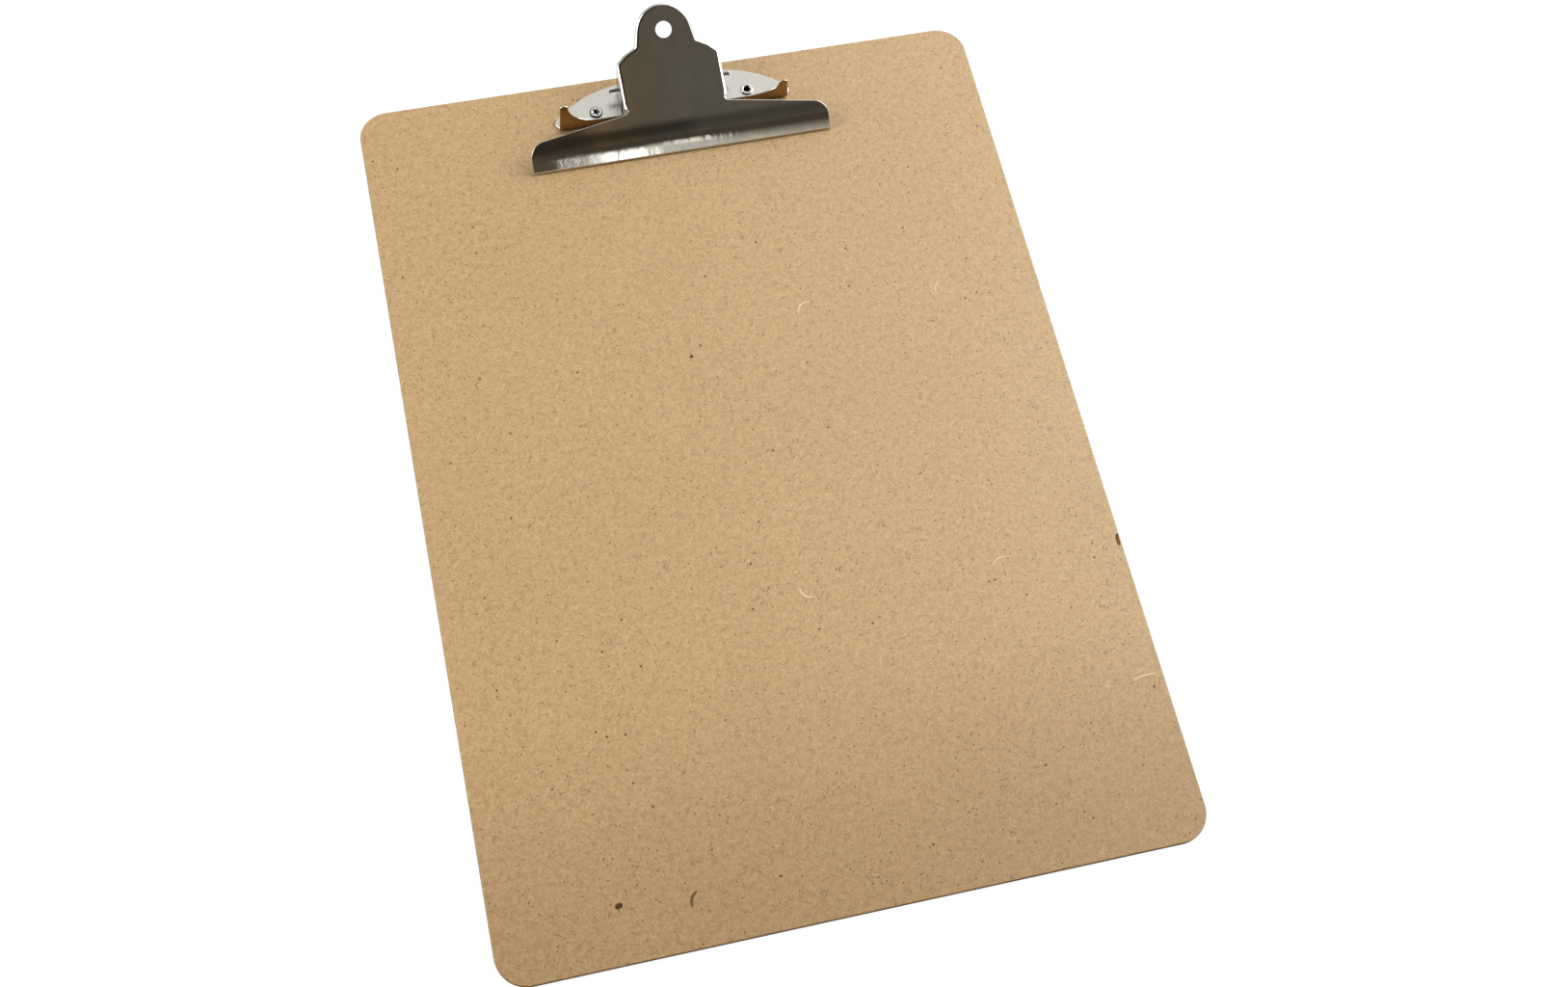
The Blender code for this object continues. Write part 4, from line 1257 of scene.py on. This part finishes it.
# Painted reflection: where the dark band behind the lip lies and how dark it is
PAINTED_BAND_START = (0.0030, 0.0085)
PAINTED_BAND_END = (0.0098, 0.0125, 1.0, 0.0)
PAINTED_BAND_SIDES = ((0.002, 0.012, 0.72, 0.45), (-0.068, -0.044, 0.45, 1.0))
PAINTED_BAND_DARK = (0.03, 0.03, 0.02)
LIP_SCRATCH = ((-0.0330, LIP_Y + 0.0020), 1.35, 0.0026, 0.0003, 0.0)
SCRATCH_GREY = (0.12, 0.11, 0.09)
RIM_FRONT = (0.206, 0.209)

# Painted light, reflection and shade of the base plate and the rivets. Edges are distances from a rivet's
# axis.
PAINTED_LIGHT_LEFT = (0.90, 0.89, 0.87)
PAINTED_LIGHT_RIGHT = (0.77, 0.76, 0.74)
# Painted shade at the flange's foot
FOOT_SHADE_END = (0.0008, 0.0022, 0.35, 1.0)   # in height above the plate's underside
FLANGE_FOOT_SHADE = (0.20, 0.10, 0.04)
BORE_EDGE = (0.0019, 0.0023)
GROOVE_EDGE = (0.00268, 0.00290)
# Painted shade in the rivets' bores and grooves
RIVET_PAINTED_SHADE = (0.010, 0.009, 0.008)

FLOOR_DARK = (0.17, 0.17, 0.17)
FLOOR_LIGHT = (0.21, 0.21, 0.21)
FLOOR_GLOW = 0.92


# ---- stage


CAMERA_OFFSET = Vector((-0.11265, -0.34502, 0.78603))   # from the middle of the board's face
CAMERA_AHEAD = Vector((0.140858, 0.374739, -0.916367))
CAMERA_UP = Vector((0.180203, 0.900427, 0.395922))
CAMERA_LENS = 42.24
FLOOR_REACH = 6.0
LIGHT_SIZE = 1.2


def add_camera():
    camera = bpy.data.cameras.new("camera")
    camera.lens = CAMERA_LENS
    camera.sensor_width = 36.0
    camera.clip_start = 0.01
    camera.clip_end = 50.0
    item = put_in_scene("camera", camera)
    back = -CAMERA_AHEAD.normalized()
    right = CAMERA_UP.cross(back).normalized()
    turn = Matrix((right, back.cross(right), back)).transposed().to_4x4()
    item.matrix_world = Matrix.Translation(CAMERA_OFFSET + Vector((0, 0, BOARD_TOP))) @ turn
    bpy.context.scene.camera = item


def add_floor():
    bm = bmesh.new()
    across = (-FLOOR_REACH, 0.0, FLOOR_REACH)
    add_grid(bm, [[bm.verts.new((x, y, BOARD_LOW.z)) for x in across] for y in across])
    floor = add_object("floor", bm)
    if floor.data.polygons[0].normal.z < 0:
        floor.data.flip_normals()
    floor.data.materials.append(floor_material())


def add_soft_light(name, place, power):
    light = bpy.data.lights.new(name, "AREA")
    light.size = LIGHT_SIZE
    light.energy = power
    item = put_in_scene(name, light)
    item.location = place
    item.rotation_euler = (-Vector(place)).to_track_quat("-Z", "Y").to_euler()


def lamp(across, level):
    """Mask of a small soft lamp low in front."""
    share = 1.0
    for value, (middle, core, reach) in ((across, LAMP_ACROSS), (level, LAMP_LEVEL)):
        away = maths("ABSOLUTE", plus(value, -middle))
        share = times(soft(away, core, reach, 1.0, 0.0), share)
    return share


def add_world():
    """A bright room, brighter to the right, with a dark ceiling over the table's front.

    Low in front the wall is dark too, with a window, a lamp and a light wall to its right.
    """
    world = bpy.data.worlds.new("studio")
    world.use_nodes = True
    tree = world.node_tree
    way = source(tree, "TexCoord", "Generated")
    x, y, z = split(way)
    walls = mix(soft(x, *WALL_RIGHT_START), WALL_LEFT, WALL_RIGHT)
    walls = mix(soft(y, *WALL_FRONT_END), walls, WALL_FRONT)
    ceiling = Vector((0.0, -sin(CEILING_LEAN), cos(CEILING_LEAN)))
    near = node("VectorMath", {0: way, 1: ceiling}, operation="DOT_PRODUCT")["Value"]
    covered = soft(near, cos(CEILING_OUTER), cos(CEILING_INNER))
    shade = mix(ramp(z, *CEILING_TOP_START), CEILING_MIDDLE, CEILING_TOP)
    shade = mix(ramp(x, *DIM_END), shade, CEILING_DIM, "MULTIPLY")
    shade = mix(soft(x, *BROWN_END), shade, CEILING_BROWN)
    shade = mix(soft(x, *DARK_END), shade, CEILING_DARK)
    colour = mix(covered, walls, shade)
    across = times(maths("DIVIDE", x, y), -1.0)
    ahead = ramp(y, *AHEAD_END)
    front = times(ahead, soft(z, *FRONT_WALL_TOP))
    colour = mix(front, colour, FRONT_WALL)
    line = node("CombineXYZ", {"X": times(across, STREAKS_ACROSS)})["Vector"]
    streaks = ramp(noise(line, 1.0, 2.0), 0.3, 0.7, -STREAK_HEIGHT, STREAK_HEIGHT)
    level = plus(z, streaks)
    right_part = times(ahead, ramp(level, *RIGHT_TOP))
    right_part = times(right_part, gates(across, *RIGHT_SIDES))
    colour = mix(right_part, colour, FRONT_RIGHT)
    window = times(ahead, soft(level, *WINDOW_TOP))
    window = times(window, gates(across, *WINDOW_SIDES))
    colour = mix(window, colour, WINDOW_COLOUR)
    colour = mix(times(ahead, lamp(across, level)), colour, LAMP_COLOUR)
    background = tree.nodes["Background"]
    tree.links.new(colour, background.inputs["Color"])
    background.inputs["Strength"].default_value = 1.0
    bpy.context.scene.world = world


# Where the room's tones change, as for ramp. WALL_RIGHT_START and the ceiling's three ends are in the
# direction's X, WALL_FRONT_END and AHEAD_END in its Y, heights in its Z, and sides in -X / Y.
WALL_RIGHT_START = (-0.15, 0.40)
WALL_FRONT_END = (-0.80, -0.45, 1.0, 0.0)
AHEAD_END = (-0.80, -0.70, 1.0, 0.0)
CEILING_TOP_START = (0.975, 0.995)
DIM_END = (0.102, 0.124, 1.0, 0.0)
BROWN_END = (0.088, 0.100, 1.0, 0.0)
DARK_END = (0.060, 0.074, 1.0, 0.0)
FRONT_WALL_TOP = (0.50, 0.66, 1.0, 0.0)
RIGHT_TOP = (0.05, 0.38, 1.0, 0.0)
RIGHT_SIDES = ((0.142, 0.152), (0.165, 0.200, 1.0, 0.60))
WINDOW_TOP = (0.25, 0.43, 1.0, 0.0)
WINDOW_SIDES = ((0.070, 0.081), (0.095, 0.103, 1.0, 0.20), (0.142, 0.150, 1.0, 0.0))
STREAKS_ACROSS = 260.0
STREAK_HEIGHT = 0.035

# The lamp's middle, the reach of its core and the reach of its glow
LAMP_ACROSS = (0.131, 0.006, 0.014)
LAMP_LEVEL = (0.34, 0.04, 0.12)

CEILING_LEAN = radians(27)
CEILING_INNER = radians(39)
CEILING_OUTER = radians(48)
CEILING_TOP = (0.140, 0.128, 0.100)
CEILING_MIDDLE = (0.137, 0.124, 0.096)
CEILING_DIM = (0.95, 0.90, 0.86)
CEILING_BROWN = (0.185, 0.130, 0.082)
CEILING_DARK = (0.055, 0.043, 0.027)
WALL_LEFT = (0.62, 0.63, 0.63)
WALL_RIGHT = (1.60, 1.60, 1.58)
WALL_FRONT = (0.10, 0.088, 0.075)
FRONT_WALL = (0.085, 0.070, 0.046)
FRONT_RIGHT = (0.68, 0.64, 0.55)
WINDOW_COLOUR = (3.0, 3.0, 2.85)
LAMP_COLOUR = (1.25, 1.20, 1.08)


def main():
    bpy.context.scene.view_settings.view_transform = "Standard"
    build_board(hardboard())
    build_base_plate(base_nickel())
    build_lever_plate(lever_nickel())
    build_hinge_pin(steel("pin_steel_drawn", (0.62, 0.61, 0.58), 0.18, 0.34))
    build_torsion_spring(steel("spring_steel_oiled", (0.36, 0.35, 0.33), 0.28, 0.45))
    left_nickel = rivet_nickel("nickel_rivet_left", 0.95)
    right_nickel = rivet_nickel("nickel_rivet_right", 0.20)
    build_rivet("rivet_left_star", -1, (0.0008, 0.0020), 5, left_nickel, "rivet_left")
    build_rivet("rivet_right_ring", 1, (0.0017, 0.0017), 0, right_nickel, "rivet_right")
    add_floor()
    add_world()
    add_soft_light("left_box", (-1.5, 0.3, 1.0), 20.0)
    add_soft_light("right_box", (1.4, 0.6, 1.1), 26.0)
    add_camera()


main()
